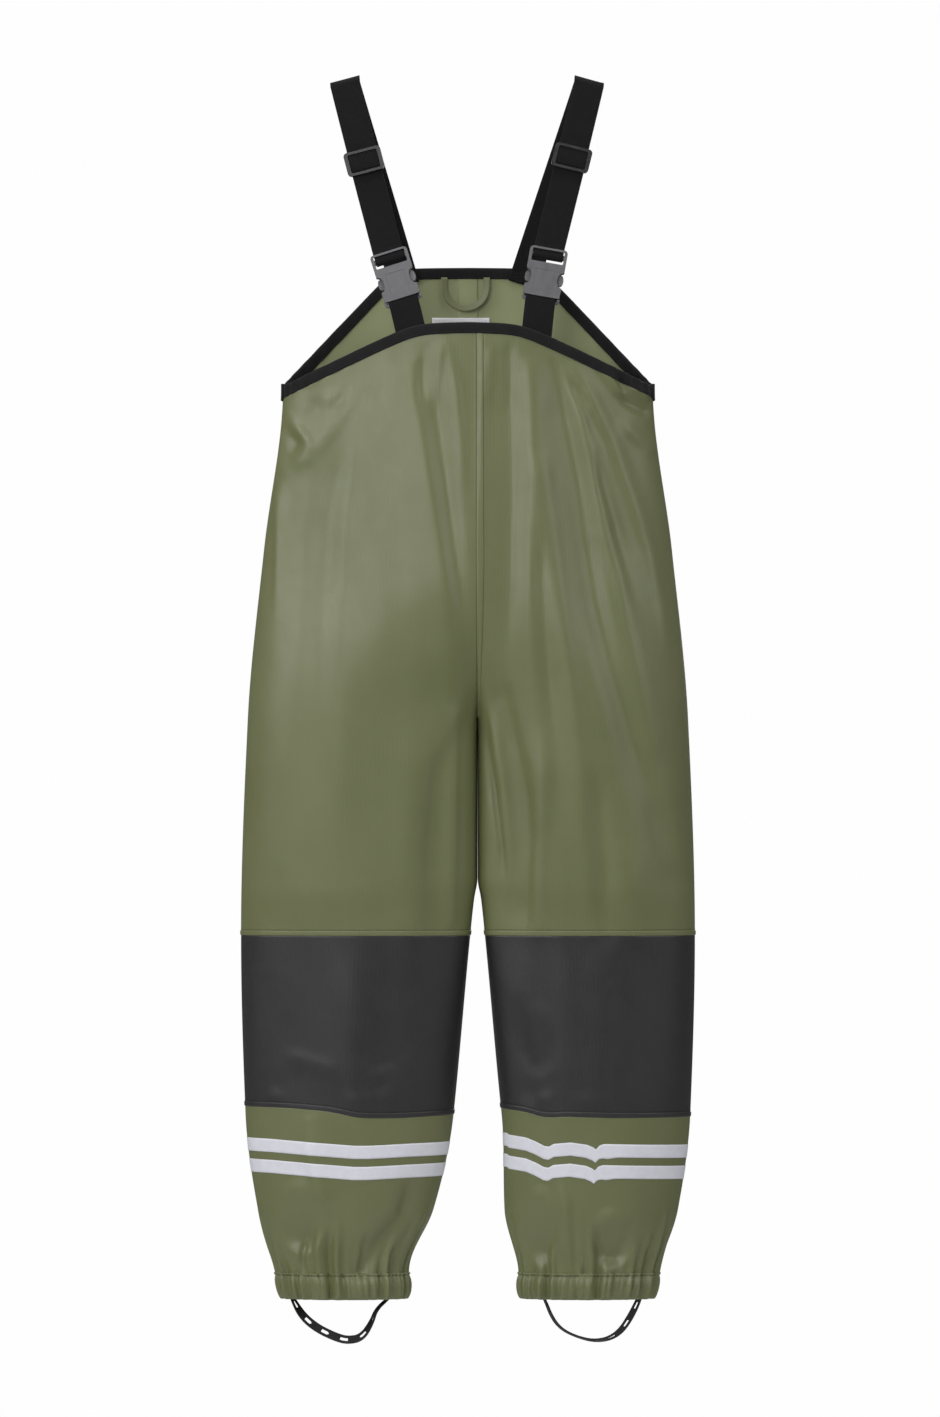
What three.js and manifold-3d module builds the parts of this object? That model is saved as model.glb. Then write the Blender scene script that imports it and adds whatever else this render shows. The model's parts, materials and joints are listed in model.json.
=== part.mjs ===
// Children's bib rain trousers: a coated shell with two bib panels in front and two long panels
// behind, dark knee panels, gathered cuffs with foot straps, and two webbing shoulder straps that
// clip to the bib with side-release buckles. Millimetres, +Z up, the front faces -Y.
// The origin is the centre of the back neck binding, on its flat outer face.

import * as THREE from 'three';
import { mergeVertices } from 'three/addons/utils/BufferGeometryUtils.js';
import Module from 'manifold-3d';

// ---------------------------------------------------------------- driving dimensions
// Lengths, measured down from the back neck edge.
const BODY_RISE = 376;          // back neck edge to crotch
const THIGH_LENGTH = 178;       // crotch to the top of the knee panel
const KNEE_LENGTH = 148;
const SHIN_LENGTH = 133;        // knee panel to the gathered cuff
const CUFF_LENGTH = 21;
const BIB_DROP = 46;            // top of the bib below the back neck edge
const SIDE_DROP = 99;           // the side corners below the back neck edge

// Half widths of the garment, from the middle to the side seam.
const CHEST_HALF = 153.6;
const RIB_HALF = 169.5;
const HIP_HALF = 183;
const KNEE_HALF = 188.6;
const KNEE_LOW_HALF = 184.8;
const ANKLE_HALF = 174.5;
const CUFF_HALF = 158.5;

// Half of the gap between the legs.
const THIGH_GAP = 2.2;
const KNEE_GAP = 6;
const KNEE_LOW_GAP = 19.8;
const ANKLE_GAP = 29.5;
const CUFF_GAP = 47;

// Half depths of the filled-out garment, front and back of the side seams.
const NECK_DEPTH = 36;
const HIP_DEPTH = 55;
const THIGH_DEPTH = 50;
const KNEE_DEPTH = 43;
const ANKLE_DEPTH = 37;
const CUFF_DEPTH = 30;

const SEAM_SHIFT = 8;           // the centre front seam hangs this far off the middle
const CUFF_SHIFT = -3;          // and the gap between the cuffs this far
const SIDE_CORNER = 1.15;       // 1 is a round side seam, more is a sharper one
const CROTCH_ROUND = 90;        // height over which the seat curves under

const WALL = 1.2;               // coated fabric
const SEAM_GAP = 0.3;           // clearance between pieces that touch
const SEWN_GAP = 1.0;           // clearance of flat webbing laid against the curved shell
const BINDING_WIDTH = 9;
const BINDING_PROUD = 1.0;      // how far the folded binding stands off the fabric
const NECK_FLAT = 62;           // half length of the straight part of the back neck edge
const NECK_SLOPE = 1.07;
const BIB_FLAT = 44;            // half length of the straight part of the bib's top edge
const BIB_SLOPE = 0.48;
const EDGE_BLEND = 16;

const STRIPE_WIDTH = 10.5;
const STRIPE_PITCH = 17.5;
const STRIPE_DROP = 25;         // knee panel to the first stripe
const STRIPE_THICK = 0.5;
const STRIPE_CLEAR = 0.6;

const WEB_WIDTH = 25;
const WEB_THICK = 1.2;
const STRAP_TOP = 156;          // top of the folded straps above the back neck edge
const STRAP_FOLD = 8;           // radius of the fold over the top
const BACK_STRAP_X = 50;        // where the straps leave the back neck edge
const STRAP_SEWN = 24;          // length of webbing sewn inside the shell
const STRAPS = [
  { name: 'left', side: -1, footX: 48.5, tabLength: 21, tabTilt: 13, buckleTilt: 17.5, topX: 102 },
  { name: 'right', side: 1, footX: 57.5, tabLength: 25, tabTilt: 6, buckleTilt: 10, topX: 100.5 },
];

const BUCKLE_WALL = 2.6;        // side walls of the buckle's housing
const WEB_CLEARANCE = 0.7;      // webbing to the side of any slot
const HOUSING_LENGTH = 27;
const HOUSING_THICK = 9;
const SOCKET_THICK = 5.4;
const BAR_HEIGHT = 5;           // bar that the shoulder strap turns round
const BAR_SLOT = 4;
const BASE_LENGTH = 9;          // part of the plug that shows below the housing
const BASE_BAR = 3.5;
const BASE_SLOT = 3.5;
const PLUG_THICK = 3.6;
const SLIDER_DISTANCE = 81;     // middle of the slider above the top of the buckle
const SLIDER_LENGTH = 20;
const SLIDER_BAR = 3.4;
const SLIDER_SIDE = 2.5;

const FOOT_BAND_WIDTH = 7.4;
const FOOT_BAND_THICK = 1.2;
const FOOT_DROP = 35;           // lowest point of the foot strap below the cuff
const BUTTON_HEIGHT = 15;       // buttons above the cuff's lower edge
const BUTTON_RADIUS = 5.5;
const BUTTON_THICK = 1.8;
const BUTTON_CLEAR = 2.4;       // the flat button stands this far off the curved hem

const LOOP_HALF = 17;           // hang loop, half of its width along the middle of the tape
const LOOP_DROP = 26;           // straight part of the loop
const LOOP_TAPE = 7;
const LOOP_THICK = 1.6;
const LABEL_WIDTH = 48;
const LABEL_HEIGHT = 34;
const LABEL_DROP = 41.5;
const LABEL_X = -6;

// ---------------------------------------------------------------- colours
const cloth = (color, roughness) => new THREE.MeshStandardMaterial({ color, roughness, metalness: 0 });
const GREEN = cloth(0x7a7d62, 0.55);
const BLACK_PANEL = cloth(0x3a393b, 0.55);
const BINDING = cloth(0x20201f, 0.7);
const WEBBING = cloth(0x28282a, 0.85);
const REFLECTIVE = cloth(0xb1b4b4, 0.35);
const BUCKLE_GREY = cloth(0x5f5f61, 0.45);
const SLIDER_BLACK = cloth(0x2e2e30, 0.4);
const RUBBER = cloth(0x1d1d1d, 0.6);
const ELASTIC = cloth(0xd9d9d4, 0.8);
const LABEL_WHITE = cloth(0xd9d8df, 0.6);

// ---------------------------------------------------------------- helpers
const wasm = await Module();
wasm.setup();

const object = new THREE.Group();
const radians = THREE.MathUtils.degToRad;
const point = (x, y, z) => new THREE.Vector3(x, y, z);

function add(name, geometry, material, parent = object) {
  const mesh = new THREE.Mesh(geometry, material);
  mesh.name = name;
  parent.add(mesh);
  return mesh;
}

function toGeometry(points, faces) {
  const geometry = new THREE.BufferGeometry();
  const numbers = points.flatMap((p) => [p.x, p.y, p.z]);
  geometry.setAttribute('position', new THREE.Float32BufferAttribute(numbers, 3));
  geometry.setIndex(faces.flat());
  return geometry;
}

// A smooth curve through [z, value] stations listed from the top down.
function along(stations) {
  const slope = (i) => {
    const last = stations.length - 1;
    if (i <= 0 || i >= last) return 0;
    const before = (stations[i][1] - stations[i - 1][1]) / (stations[i][0] - stations[i - 1][0]);
    const after = (stations[i + 1][1] - stations[i][1]) / (stations[i + 1][0] - stations[i][0]);
    return before * after <= 0 ? 0 : (2 * before * after) / (before + after);
  };
  return (z) => {
    if (z >= stations[0][0]) return stations[0][1];
    let i = 0;
    while (i < stations.length - 1 && z < stations[i + 1][0]) i += 1;
    if (i === stations.length - 1) return stations[i][1];
    const [z0, v0] = stations[i];
    const [z1, v1] = stations[i + 1];
    const span = z1 - z0;
    const t = (z - z0) / span;
    return v0 * (1 + 2 * t) * (1 - t) ** 2 + v1 * t * t * (3 - 2 * t)
      + span * (slope(i) * t * (1 - t) ** 2 + slope(i + 1) * t * t * (t - 1));
  };
}

// A closed solid from a grid of outer points and the matching inner ones.
function shell(outer, inner) {
  const rows = outer.length;
  const columns = outer[0].length;
  const points = [...outer.flat(), ...inner.flat()];
  const out = (r, c) => r * columns + c;
  const into = (r, c) => rows * columns + out(r, c);
  const faces = [];
  const quad = (a, b, c, d) => faces.push([a, b, c], [a, c, d]);
  for (let r = 0; r < rows - 1; r += 1) {
    for (let c = 0; c < columns - 1; c += 1) {
      quad(out(r, c), out(r, c + 1), out(r + 1, c + 1), out(r + 1, c));
      quad(into(r, c), into(r + 1, c), into(r + 1, c + 1), into(r, c + 1));
    }
  }
  for (let c = 0; c < columns - 1; c += 1) {
    quad(out(0, c), into(0, c), into(0, c + 1), out(0, c + 1));
    quad(out(rows - 1, c + 1), into(rows - 1, c + 1), into(rows - 1, c), out(rows - 1, c));
  }
  for (let r = 0; r < rows - 1; r += 1) {
    quad(out(r + 1, 0), into(r + 1, 0), into(r, 0), out(r, 0));
    quad(out(r, columns - 1), into(r, columns - 1), into(r + 1, columns - 1), out(r + 1, columns - 1));
  }
  return facingOut(points, faces);
}

// A closed ring: one closed section, repeated round the loop.
function ring(sections) {
  const count = sections[0].length;
  const faces = [];
  sections.forEach((_, s) => {
    const next = (s + 1) % sections.length;
    for (let i = 0; i < count; i += 1) {
      const j = (i + 1) % count;
      faces.push([s * count + i, s * count + j, next * count + j]);
      faces.push([s * count + i, next * count + j, next * count + i]);
    }
  });
  return facingOut(sections.flat(), faces);
}

function facingOut(points, faces) {
  const volume = faces.reduce((sum, [a, b, c]) => (
    sum + points[a].dot(new THREE.Vector3().crossVectors(points[b], points[c]))), 0);
  return toGeometry(points, volume > 0 ? faces : faces.map(([a, b, c]) => [a, c, b]));
}

// A flat band along a path; across[i] points along its width at path[i].
function band(path, across, width, thickness) {
  const corners = path.map((p, i) => {
    const before = path[Math.max(i - 1, 0)];
    const after = path[Math.min(i + 1, path.length - 1)];
    const tangent = after.clone().sub(before).normalize();
    const side = across[i].clone().addScaledVector(tangent, -across[i].dot(tangent)).normalize();
    const up = new THREE.Vector3().crossVectors(tangent, side);
    const corner = (s, t) => p.clone()
      .addScaledVector(side, (s * width) / 2)
      .addScaledVector(up, (t * thickness) / 2);
    return [corner(-1, -1), corner(1, -1), corner(1, 1), corner(-1, 1)];
  });
  const faces = [];
  for (let s = 0; s < corners.length - 1; s += 1) {
    for (let i = 0; i < 4; i += 1) {
      const j = (i + 1) % 4;
      faces.push([s * 4 + i, s * 4 + j, s * 4 + 4 + j], [s * 4 + i, s * 4 + 4 + j, s * 4 + 4 + i]);
    }
  }
  const end = (corners.length - 1) * 4;
  faces.push([3, 2, 1], [3, 1, 0], [end, end + 1, end + 2], [end, end + 2, end + 3]);
  return facingOut(corners.flat(), faces);
}

function toManifold(geometry) {
  const bare = geometry.clone();
  bare.deleteAttribute('normal');
  bare.deleteAttribute('uv');
  const merged = mergeVertices(bare);
  return new wasm.Manifold(new wasm.Mesh({
    numProp: 3,
    vertProperties: new Float32Array(merged.attributes.position.array),
    triVerts: new Uint32Array(merged.index.array),
  }));
}

function fromManifold(solid) {
  const mesh = solid.getMesh();
  const geometry = new THREE.BufferGeometry();
  geometry.setAttribute('position', new THREE.BufferAttribute(new Float32Array(mesh.vertProperties), 3));
  geometry.setIndex(new THREE.BufferAttribute(new Uint32Array(mesh.triVerts), 1));
  return geometry;
}

// A box between two values on each axis.
function block([x0, x1], [y0, y1], [z0, z1]) {
  const geometry = new THREE.BoxGeometry(x1 - x0, y1 - y0, z1 - z0);
  geometry.translate((x0 + x1) / 2, (y0 + y1) / 2, (z0 + z1) / 2);
  return toManifold(geometry);
}

// A flat shape drawn in X and Y, as thick as asked and centred on z = 0.
function extrude(shape, thickness, curveSegments) {
  const options = { depth: thickness, bevelEnabled: false, curveSegments };
  return new THREE.ExtrudeGeometry(shape, options).translate(0, 0, -thickness / 2);
}

// A plate with rounded corners.
function plate(halfX, y0, y1, radius, thickness) {
  const shape = new THREE.Shape();
  shape.moveTo(-halfX + radius, y0);
  shape.lineTo(halfX - radius, y0);
  shape.absarc(halfX - radius, y0 + radius, radius, -Math.PI / 2, 0);
  shape.absarc(halfX - radius, y1 - radius, radius, 0, Math.PI / 2);
  shape.absarc(-halfX + radius, y1 - radius, radius, Math.PI / 2, Math.PI);
  shape.absarc(-halfX + radius, y0 + radius, radius, Math.PI, Math.PI * 1.5);
  return toManifold(extrude(shape, thickness, 3));
}

// ---------------------------------------------------------------- the shape of the shell
const CROTCH_Z = -BODY_RISE;
const KNEE_Z = CROTCH_Z - THIGH_LENGTH;
const SHIN_Z = KNEE_Z - KNEE_LENGTH;
const CUFF_Z = SHIN_Z - SHIN_LENGTH;
const HEM_Z = CUFF_Z - CUFF_LENGTH;
const RIB_Z = CROTCH_Z * 0.625;
const MID_THIGH_Z = CROTCH_Z - THIGH_LENGTH * 0.77;
const ANKLE_Z = SHIN_Z - SHIN_LENGTH * 0.6;

const halfWidth = along([
  [-SIDE_DROP, CHEST_HALF], [RIB_Z, RIB_HALF], [CROTCH_Z, HIP_HALF], [KNEE_Z, KNEE_HALF],
  [SHIN_Z, KNEE_LOW_HALF], [ANKLE_Z, ANKLE_HALF], [CUFF_Z, CUFF_HALF],
]);
const halfGap = along([
  [CROTCH_Z, 0], [MID_THIGH_Z, THIGH_GAP], [KNEE_Z, KNEE_GAP], [SHIN_Z, KNEE_LOW_GAP],
  [ANKLE_Z, ANKLE_GAP], [CUFF_Z, CUFF_GAP],
]);
const depthAt = along([
  [0, NECK_DEPTH], [CROTCH_Z * 0.75, HIP_DEPTH], [MID_THIGH_Z, THIGH_DEPTH], [KNEE_Z, KNEE_DEPTH + 2],
  [SHIN_Z, KNEE_DEPTH], [ANKLE_Z, ANKLE_DEPTH], [CUFF_Z, CUFF_DEPTH],
]);
const frontSeamX = along([[SHIN_Z, SEAM_SHIFT], [CUFF_Z, CUFF_SHIFT]]);
const backSeamX = along([[0, 0], [CROTCH_Z, SEAM_SHIFT], [SHIN_Z, SEAM_SHIFT], [CUFF_Z, CUFF_SHIFT]]);

const FRONT = -1;
const BACK = 1;

// A point of the shell and its outward direction. `face` is FRONT or BACK, `side` is -1 or 1, and
// `part` runs from 0 at the middle seam or inseam to 1 at the side seam. Above the crotch a half of
// the shell is a quarter of an oval, below it is half of one, and the seat curve lies between.
function shellAt(face, side, part, z, offset = 0) {
  const drop = THREE.MathUtils.clamp((CROTCH_Z + CROTCH_ROUND - z) / CROTCH_ROUND, 0, 1) ** 2;
  const seam = face === FRONT ? frontSeamX(z) : backSeamX(z);
  const inner = seam + side * Math.max(halfGap(z), SEAM_GAP / 2);
  const width = side * (side * halfWidth(z) - inner);
  const reach = width / (1 + drop);
  const first = -Math.asin(drop);
  const angle = first + (Math.PI / 2 - first) * part;
  const depth = depthAt(z);
  const cosine = Math.max(Math.cos(angle), 0);
  const outward = point(
    side * depth * SIDE_CORNER * Math.sin(angle),
    face * reach * cosine ** (2 - SIDE_CORNER),
    0,
  ).normalize();
  const place = point(
    inner + side * reach * (drop + Math.sin(angle)),
    face * (depth * cosine ** SIDE_CORNER + SEAM_GAP / 2),
    z,
  );
  return place.addScaledVector(outward, offset);
}

// The same point, found from its x. Only used above the seat curve.
function shellAtX(face, x, z, offset = 0) {
  const seam = face === FRONT ? frontSeamX(z) : backSeamX(z);
  const side = x < seam ? -1 : 1;
  const reach = halfWidth(z) - side * seam;
  const part = Math.asin(Math.min(Math.abs(x - seam) / reach, 1)) / (Math.PI / 2);
  return shellAt(face, side, part, z, offset);
}

// The direction across the shell at x, level with it.
const shellAcross = (face, x, z) => shellAtX(face, x + 5, z).sub(shellAtX(face, x - 5, z)).normalize();

// Height of the top edge at x, less a distance measured square to the edge.
function edgeZ(face, x, below = 0) {
  const level = face === FRONT ? -BIB_DROP : 0;
  const flat = face === FRONT ? BIB_FLAT : NECK_FLAT;
  const slope = face === FRONT ? BIB_SLOPE : NECK_SLOPE;
  const past = Math.abs(x) - flat;
  const root = Math.hypot(past, EDGE_BLEND);
  const steep = (slope * (past / root + 1)) / 2;
  return level - (slope * (past + root)) / 2 - below * Math.hypot(1, steep);
}

// The shell's top edge along `part`, found by repeating the step from height to x and back.
function edgePoint(face, side, part, below, offset) {
  let z = edgeZ(face, 0, below);
  for (let i = 0; i < 8; i += 1) z = edgeZ(face, shellAt(face, side, part, z).x, below);
  return shellAt(face, side, part, z, offset);
}

// ---------------------------------------------------------------- panels of coated fabric
const ACROSS = 10;

function panel(name, face, side, topOf, bottomZ, rows, material) {
  const grid = (offset) => Array.from({ length: rows + 1 }, (_, r) => (
    Array.from({ length: ACROSS + 1 }, (__, c) => {
      const part = c / ACROSS;
      const top = topOf(part);
      return shellAt(face, side, part, top + ((bottomZ - top) * r) / rows, offset);
    })));
  add(name, shell(grid(0), grid(-WALL)), material);
}

const half = SEAM_GAP / 2;
for (const { name, side } of STRAPS) {
  const under = BINDING_WIDTH + SEAM_GAP;
  const frontTop = (part) => edgePoint(FRONT, side, part, under, 0).z;
  const backTop = (part) => edgePoint(BACK, side, Math.max(part, 1 / ACROSS), under, 0).z;
  panel(`front_panel_${name}`, FRONT, side, frontTop, KNEE_Z + half, 14, GREEN);
  panel(`back_panel_${name}`, BACK, side, backTop, CUFF_Z + half, 22, GREEN);
  panel(`knee_panel_${name}`, FRONT, side, () => KNEE_Z - half, SHIN_Z + half, 3, BLACK_PANEL);
  panel(`shin_panel_${name}`, FRONT, side, () => SHIN_Z - half, CUFF_Z + half, 4, GREEN);
}

// ---------------------------------------------------------------- edge bindings
// Folded tape along each top edge, in one piece from side seam to side seam. The back one is flat
// across the middle of the neck, so it has no station there.
function binding(name, face) {
  const stations = [];
  for (let c = -ACROSS; c <= ACROSS; c += 1) {
    if (c !== 0 || face === FRONT) stations.push([c < 0 ? -1 : 1, Math.abs(c) / ACROSS]);
  }
  const line = (below, offset) => stations.map(([side, part]) => edgePoint(face, side, part, below, offset));
  const inside = -WALL - BINDING_PROUD;
  const outer = [line(0, BINDING_PROUD), line(BINDING_WIDTH, BINDING_PROUD)];
  const inner = [line(0, inside), line(BINDING_WIDTH, inside)];
  add(name, shell(outer, inner), BINDING);
}
binding('front_edge_binding', FRONT);
binding('back_edge_binding', BACK);

// ---------------------------------------------------------------- leg rings
// A closed section carried round one leg at heights near z; corners are [offset, z].
function legRing(side, corners) {
  const sections = [];
  for (const face of [FRONT, BACK]) {
    for (let i = 0; i < ACROSS; i += 1) {
      const part = face === FRONT ? i / ACROSS : 1 - i / ACROSS;
      sections.push(corners.map(([offset, z]) => {
        const p = shellAt(face, side, part, z, offset);
        if (part === 0 || part === 1) p.y = 0;
        return p;
      }));
    }
  }
  return ring(sections);
}

const HEM_FOLD = 4;             // depth of the folded hem, which the elastic runs in
const ELASTIC_THICK = 1;
for (const { name, side } of STRAPS) {
  for (const [i, place] of ['upper', 'lower'].entries()) {
    const top = SHIN_Z - STRIPE_DROP - i * STRIPE_PITCH;
    const low = STRIPE_CLEAR;
    const high = STRIPE_CLEAR + STRIPE_THICK;
    const bottom = top - STRIPE_WIDTH;
    add(`reflective_stripe_${place}_${name}`,
      legRing(side, [[low, top], [high, top], [high, bottom], [low, bottom]]), REFLECTIVE);
  }
  const top = CUFF_Z - half;
  const pocket = HEM_FOLD - WALL;
  add(`cuff_${name}`, legRing(side, [
    [0, top], [0, HEM_Z], [-HEM_FOLD, HEM_Z], [-HEM_FOLD, top - 1],
    [-pocket, top - 1], [-pocket, HEM_Z + WALL], [-WALL, HEM_Z + WALL], [-WALL, top],
  ]), GREEN);
  const near = -WALL - SEAM_GAP;
  const far = near - ELASTIC_THICK;
  const lowest = HEM_Z + WALL + SEAM_GAP;
  add(`cuff_elastic_${name}`, legRing(side, [
    [near, top - 2], [near, lowest], [far, lowest], [far, top - 2],
  ]), ELASTIC);
}

// ---------------------------------------------------------------- foot straps
// A rubber band under each foot, held at both ends by a button inside the cuff.
for (const { name, side } of STRAPS) {
  const buttonZ = HEM_Z + BUTTON_HEIGHT;
  const centre = (side * (CUFF_HALF + CUFF_GAP) + CUFF_SHIFT) / 2;
  const wallHalf = (CUFF_HALF - CUFF_GAP - side * CUFF_SHIFT) / 2 - HEM_FOLD;
  const endX = wallHalf - BUTTON_CLEAR - BUTTON_THICK - SEAM_GAP - FOOT_BAND_THICK / 2;
  const path = [];
  const across = [];
  const steps = 12;
  const depth = BUTTON_HEIGHT + FOOT_DROP;
  path.push(point(centre - endX, 0, buttonZ + BUTTON_RADIUS + 1));
  for (let i = 0; i <= steps; i += 1) {
    const turn = Math.PI * (i / steps);
    path.push(point(centre - endX * Math.cos(turn), 0, buttonZ - depth * Math.sin(turn) ** 0.8));
  }
  path.push(point(centre + endX, 0, buttonZ + BUTTON_RADIUS + 1));
  path.forEach(() => across.push(point(0, 1, 0)));
  add(`foot_strap_${name}`, band(path, across, FOOT_BAND_WIDTH, FOOT_BAND_THICK), RUBBER);
  for (const [where, direction] of [['outer', side], ['inner', -side]]) {
    const button = new THREE.CylinderGeometry(BUTTON_RADIUS, BUTTON_RADIUS, BUTTON_THICK, 12);
    const mesh = add(`foot_strap_button_${where}_${name}`, button, SLIDER_BLACK);
    mesh.rotation.z = Math.PI / 2;
    const out = endX + (FOOT_BAND_THICK + BUTTON_THICK) / 2 + SEAM_GAP;
    mesh.position.set(centre + direction * out, 0, buttonZ);
  }
}

// ---------------------------------------------------------------- shoulder straps and buckles
// Directions of a strap or buckle: u across it, w up along it, n out of its front face.
function directions(side, tilt, lean) {
  const w = point(side * Math.tan(tilt), Math.tan(lean), 1).normalize();
  const u = point(Math.cos(tilt), 0, -side * Math.sin(tilt));
  return { u, w, n: new THREE.Vector3().crossVectors(u, w) };
}

const at = (origin, frame, w, n, u = 0) => origin.clone()
  .addScaledVector(frame.w, w).addScaledVector(frame.n, n).addScaledVector(frame.u, u);

function placed(origin, { u, w, n }) {
  const group = new THREE.Group();
  group.quaternion.setFromRotationMatrix(new THREE.Matrix4().makeBasis(u, w, n));
  group.position.copy(origin);
  object.add(group);
  return group;
}

const LAYER = WEB_THICK + SEAM_GAP;                 // one layer of webbing and its clearance
const INSIDE = -WALL - BINDING_PROUD - SEWN_GAP;    // inner face of a binding, and a clearance
const SLOT_HALF = WEB_WIDTH / 2 + WEB_CLEARANCE;
const HOUSING_HALF = SLOT_HALF + BUCKLE_WALL;
const HOUSING_TOP = HOUSING_LENGTH + BAR_SLOT + BAR_HEIGHT;
const BAR_HALF_THICK = 2;
const SOCKET_HALF = HOUSING_HALF - BUCKLE_WALL;
const SOCKET_DEPTH = HOUSING_LENGTH - 4;
const WINDOW = [6, 17];                             // side windows, above the housing's mouth
const PRONG_ROOT = 9.2;
const PRONG_WIDTH = 2.4;
const TONGUE_HALF = 3;
const MOUTH_GAP = 0.4;

// Webbing turned round a bar, from past its far edge, along one face, to the middle of its edge.
// `direction` is 1 to turn over the bar's top and -1 to turn under it; `face` is 1 at the front.
const TURN_CORNER = 0.5;
function roundBar(origin, frame, middle, halfHeight, halfThick, direction, face) {
  const reachW = halfHeight + SEAM_GAP + WEB_THICK / 2;
  const reachN = halfThick + SEAM_GAP + WEB_THICK / 2;
  return [
    [-halfHeight - SEAM_GAP, reachN],
    [reachW - TURN_CORNER, reachN],
    [reachW, reachN - TURN_CORNER],
    [reachW, SEAM_GAP],
  ].map(([w, n]) => at(origin, frame, middle + direction * w, face * n));
}

for (const { name, side, footX, tabLength, tabTilt, buckleTilt, topX } of STRAPS) {
  const footEdge = edgeZ(FRONT, side * footX);
  const foot = shellAtX(FRONT, side * footX, footEdge, INSIDE - LAYER);
  const lean = Math.atan2(-foot.y, STRAP_TOP - footEdge);
  const tab = directions(side, radians(tabTilt), lean);
  const buckle = directions(side, radians(buckleTilt), lean);
  const mouth = at(at(foot, tab, tabLength, 0), buckle, BASE_LENGTH, 0);
  const bar = HOUSING_LENGTH + BAR_SLOT + BAR_HEIGHT / 2;
  const barPoint = at(mouth, buckle, bar + BAR_HEIGHT, 0);

  // The fold over the top, and the two straight runs that meet it.
  const fold = point(side * topX, 0, STRAP_TOP - STRAP_FOLD);
  const rise = fold.z - barPoint.z;
  const frontTilt = Math.atan2(side * (fold.x - barPoint.x), rise);
  const frontLean = Math.atan2(fold.y - STRAP_FOLD - barPoint.y, rise);
  const strap = directions(side, frontTilt, frontLean);
  const backX = side * BACK_STRAP_X;
  const backEdge = shellAtX(BACK, backX, edgeZ(BACK, backX), INSIDE - WEB_THICK / 2);
  const backTilt = Math.atan2(side * (fold.x - backEdge.x), fold.z - backEdge.z);
  const backLow = shellAtX(BACK, side * (BACK_STRAP_X - STRAP_SEWN * Math.sin(backTilt)),
    -STRAP_SEWN, INSIDE - WEB_THICK / 2);

  // Tab: webbing sewn inside the bib, turned round the bar of the plug's base.
  const baseMiddle = -BASE_LENGTH + BASE_BAR / 2;
  const sewnX = side * (footX - STRAP_SEWN * Math.sin(radians(tabTilt)));
  const sewnZ = footEdge - STRAP_SEWN;
  const turn = (face) => roundBar(mouth, buckle, baseMiddle, BASE_BAR / 2, PLUG_THICK / 2, 1, face);
  const turned = [...turn(-1), ...turn(1).reverse()];
  const tabPath = [
    shellAtX(FRONT, sewnX, sewnZ, INSIDE - LAYER * 1.5 - SEAM_GAP),
    at(foot, tab, 0, -LAYER / 2 - SEAM_GAP),
    ...turned,
    at(foot, tab, 0, LAYER / 2),
    shellAtX(FRONT, sewnX, sewnZ, INSIDE - WEB_THICK / 2),
  ];
  const sewnAcross = shellAcross(FRONT, side * footX, footEdge);
  const tabAcross = [sewnAcross, sewnAcross, ...turned.map(() => buckle.u), sewnAcross, sewnAcross];
  add(`bib_tab_${name}`, band(tabPath, tabAcross, WEB_WIDTH, WEB_THICK), WEBBING);

  // Shoulder strap: sewn inside the back neck, over the shoulder and down to the buckle's bar.
  const flat = (tilt) => point(Math.cos(tilt), 0, -side * Math.sin(tilt));
  const backAcross = shellAcross(BACK, side * BACK_STRAP_X, -STRAP_SEWN);
  const strapPath = [backLow, backEdge];
  const strapAcross = [backAcross, backAcross];
  const folds = 8;
  for (let i = 0; i <= folds; i += 1) {
    const turn = Math.PI - frontLean - ((Math.PI - 2 * frontLean) * i) / folds;
    const round = point(0, -STRAP_FOLD * Math.cos(turn), STRAP_FOLD * Math.sin(turn));
    strapPath.push(round.add(fold));
    strapAcross.push(flat(backTilt + ((frontTilt - backTilt) * i) / folds));
  }
  strapPath.push(at(barPoint, strap, BAR_HEIGHT, 0));
  strapAcross.push(strap.u);
  const barFront = roundBar(mouth, buckle, bar, BAR_HEIGHT / 2, BAR_HALF_THICK, -1, 1);
  strapPath.push(...barFront);
  barFront.forEach(() => strapAcross.push(buckle.u));
  add(`shoulder_strap_${name}`, band(strapPath, strapAcross, WEB_WIDTH, WEB_THICK), WEBBING);

  // The strap's return: under the buckle's bar and back up to the slider, behind the strap.
  const slider = at(barPoint, strap, SLIDER_DISTANCE - BAR_HEIGHT, 0);
  const barBack = roundBar(mouth, buckle, bar, BAR_HEIGHT / 2, BAR_HALF_THICK, -1, -1).reverse();
  const returnPath = [
    ...barBack,
    at(barPoint, strap, BAR_HEIGHT, -LAYER),
    at(slider, strap, -SLIDER_LENGTH / 2 - SEAM_GAP, -LAYER),
  ];
  const returnAcross = [...barBack.map(() => buckle.u), strap.u, strap.u];
  add(`strap_return_${name}`, band(returnPath, returnAcross, WEB_WIDTH, WEB_THICK), WEBBING);

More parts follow.
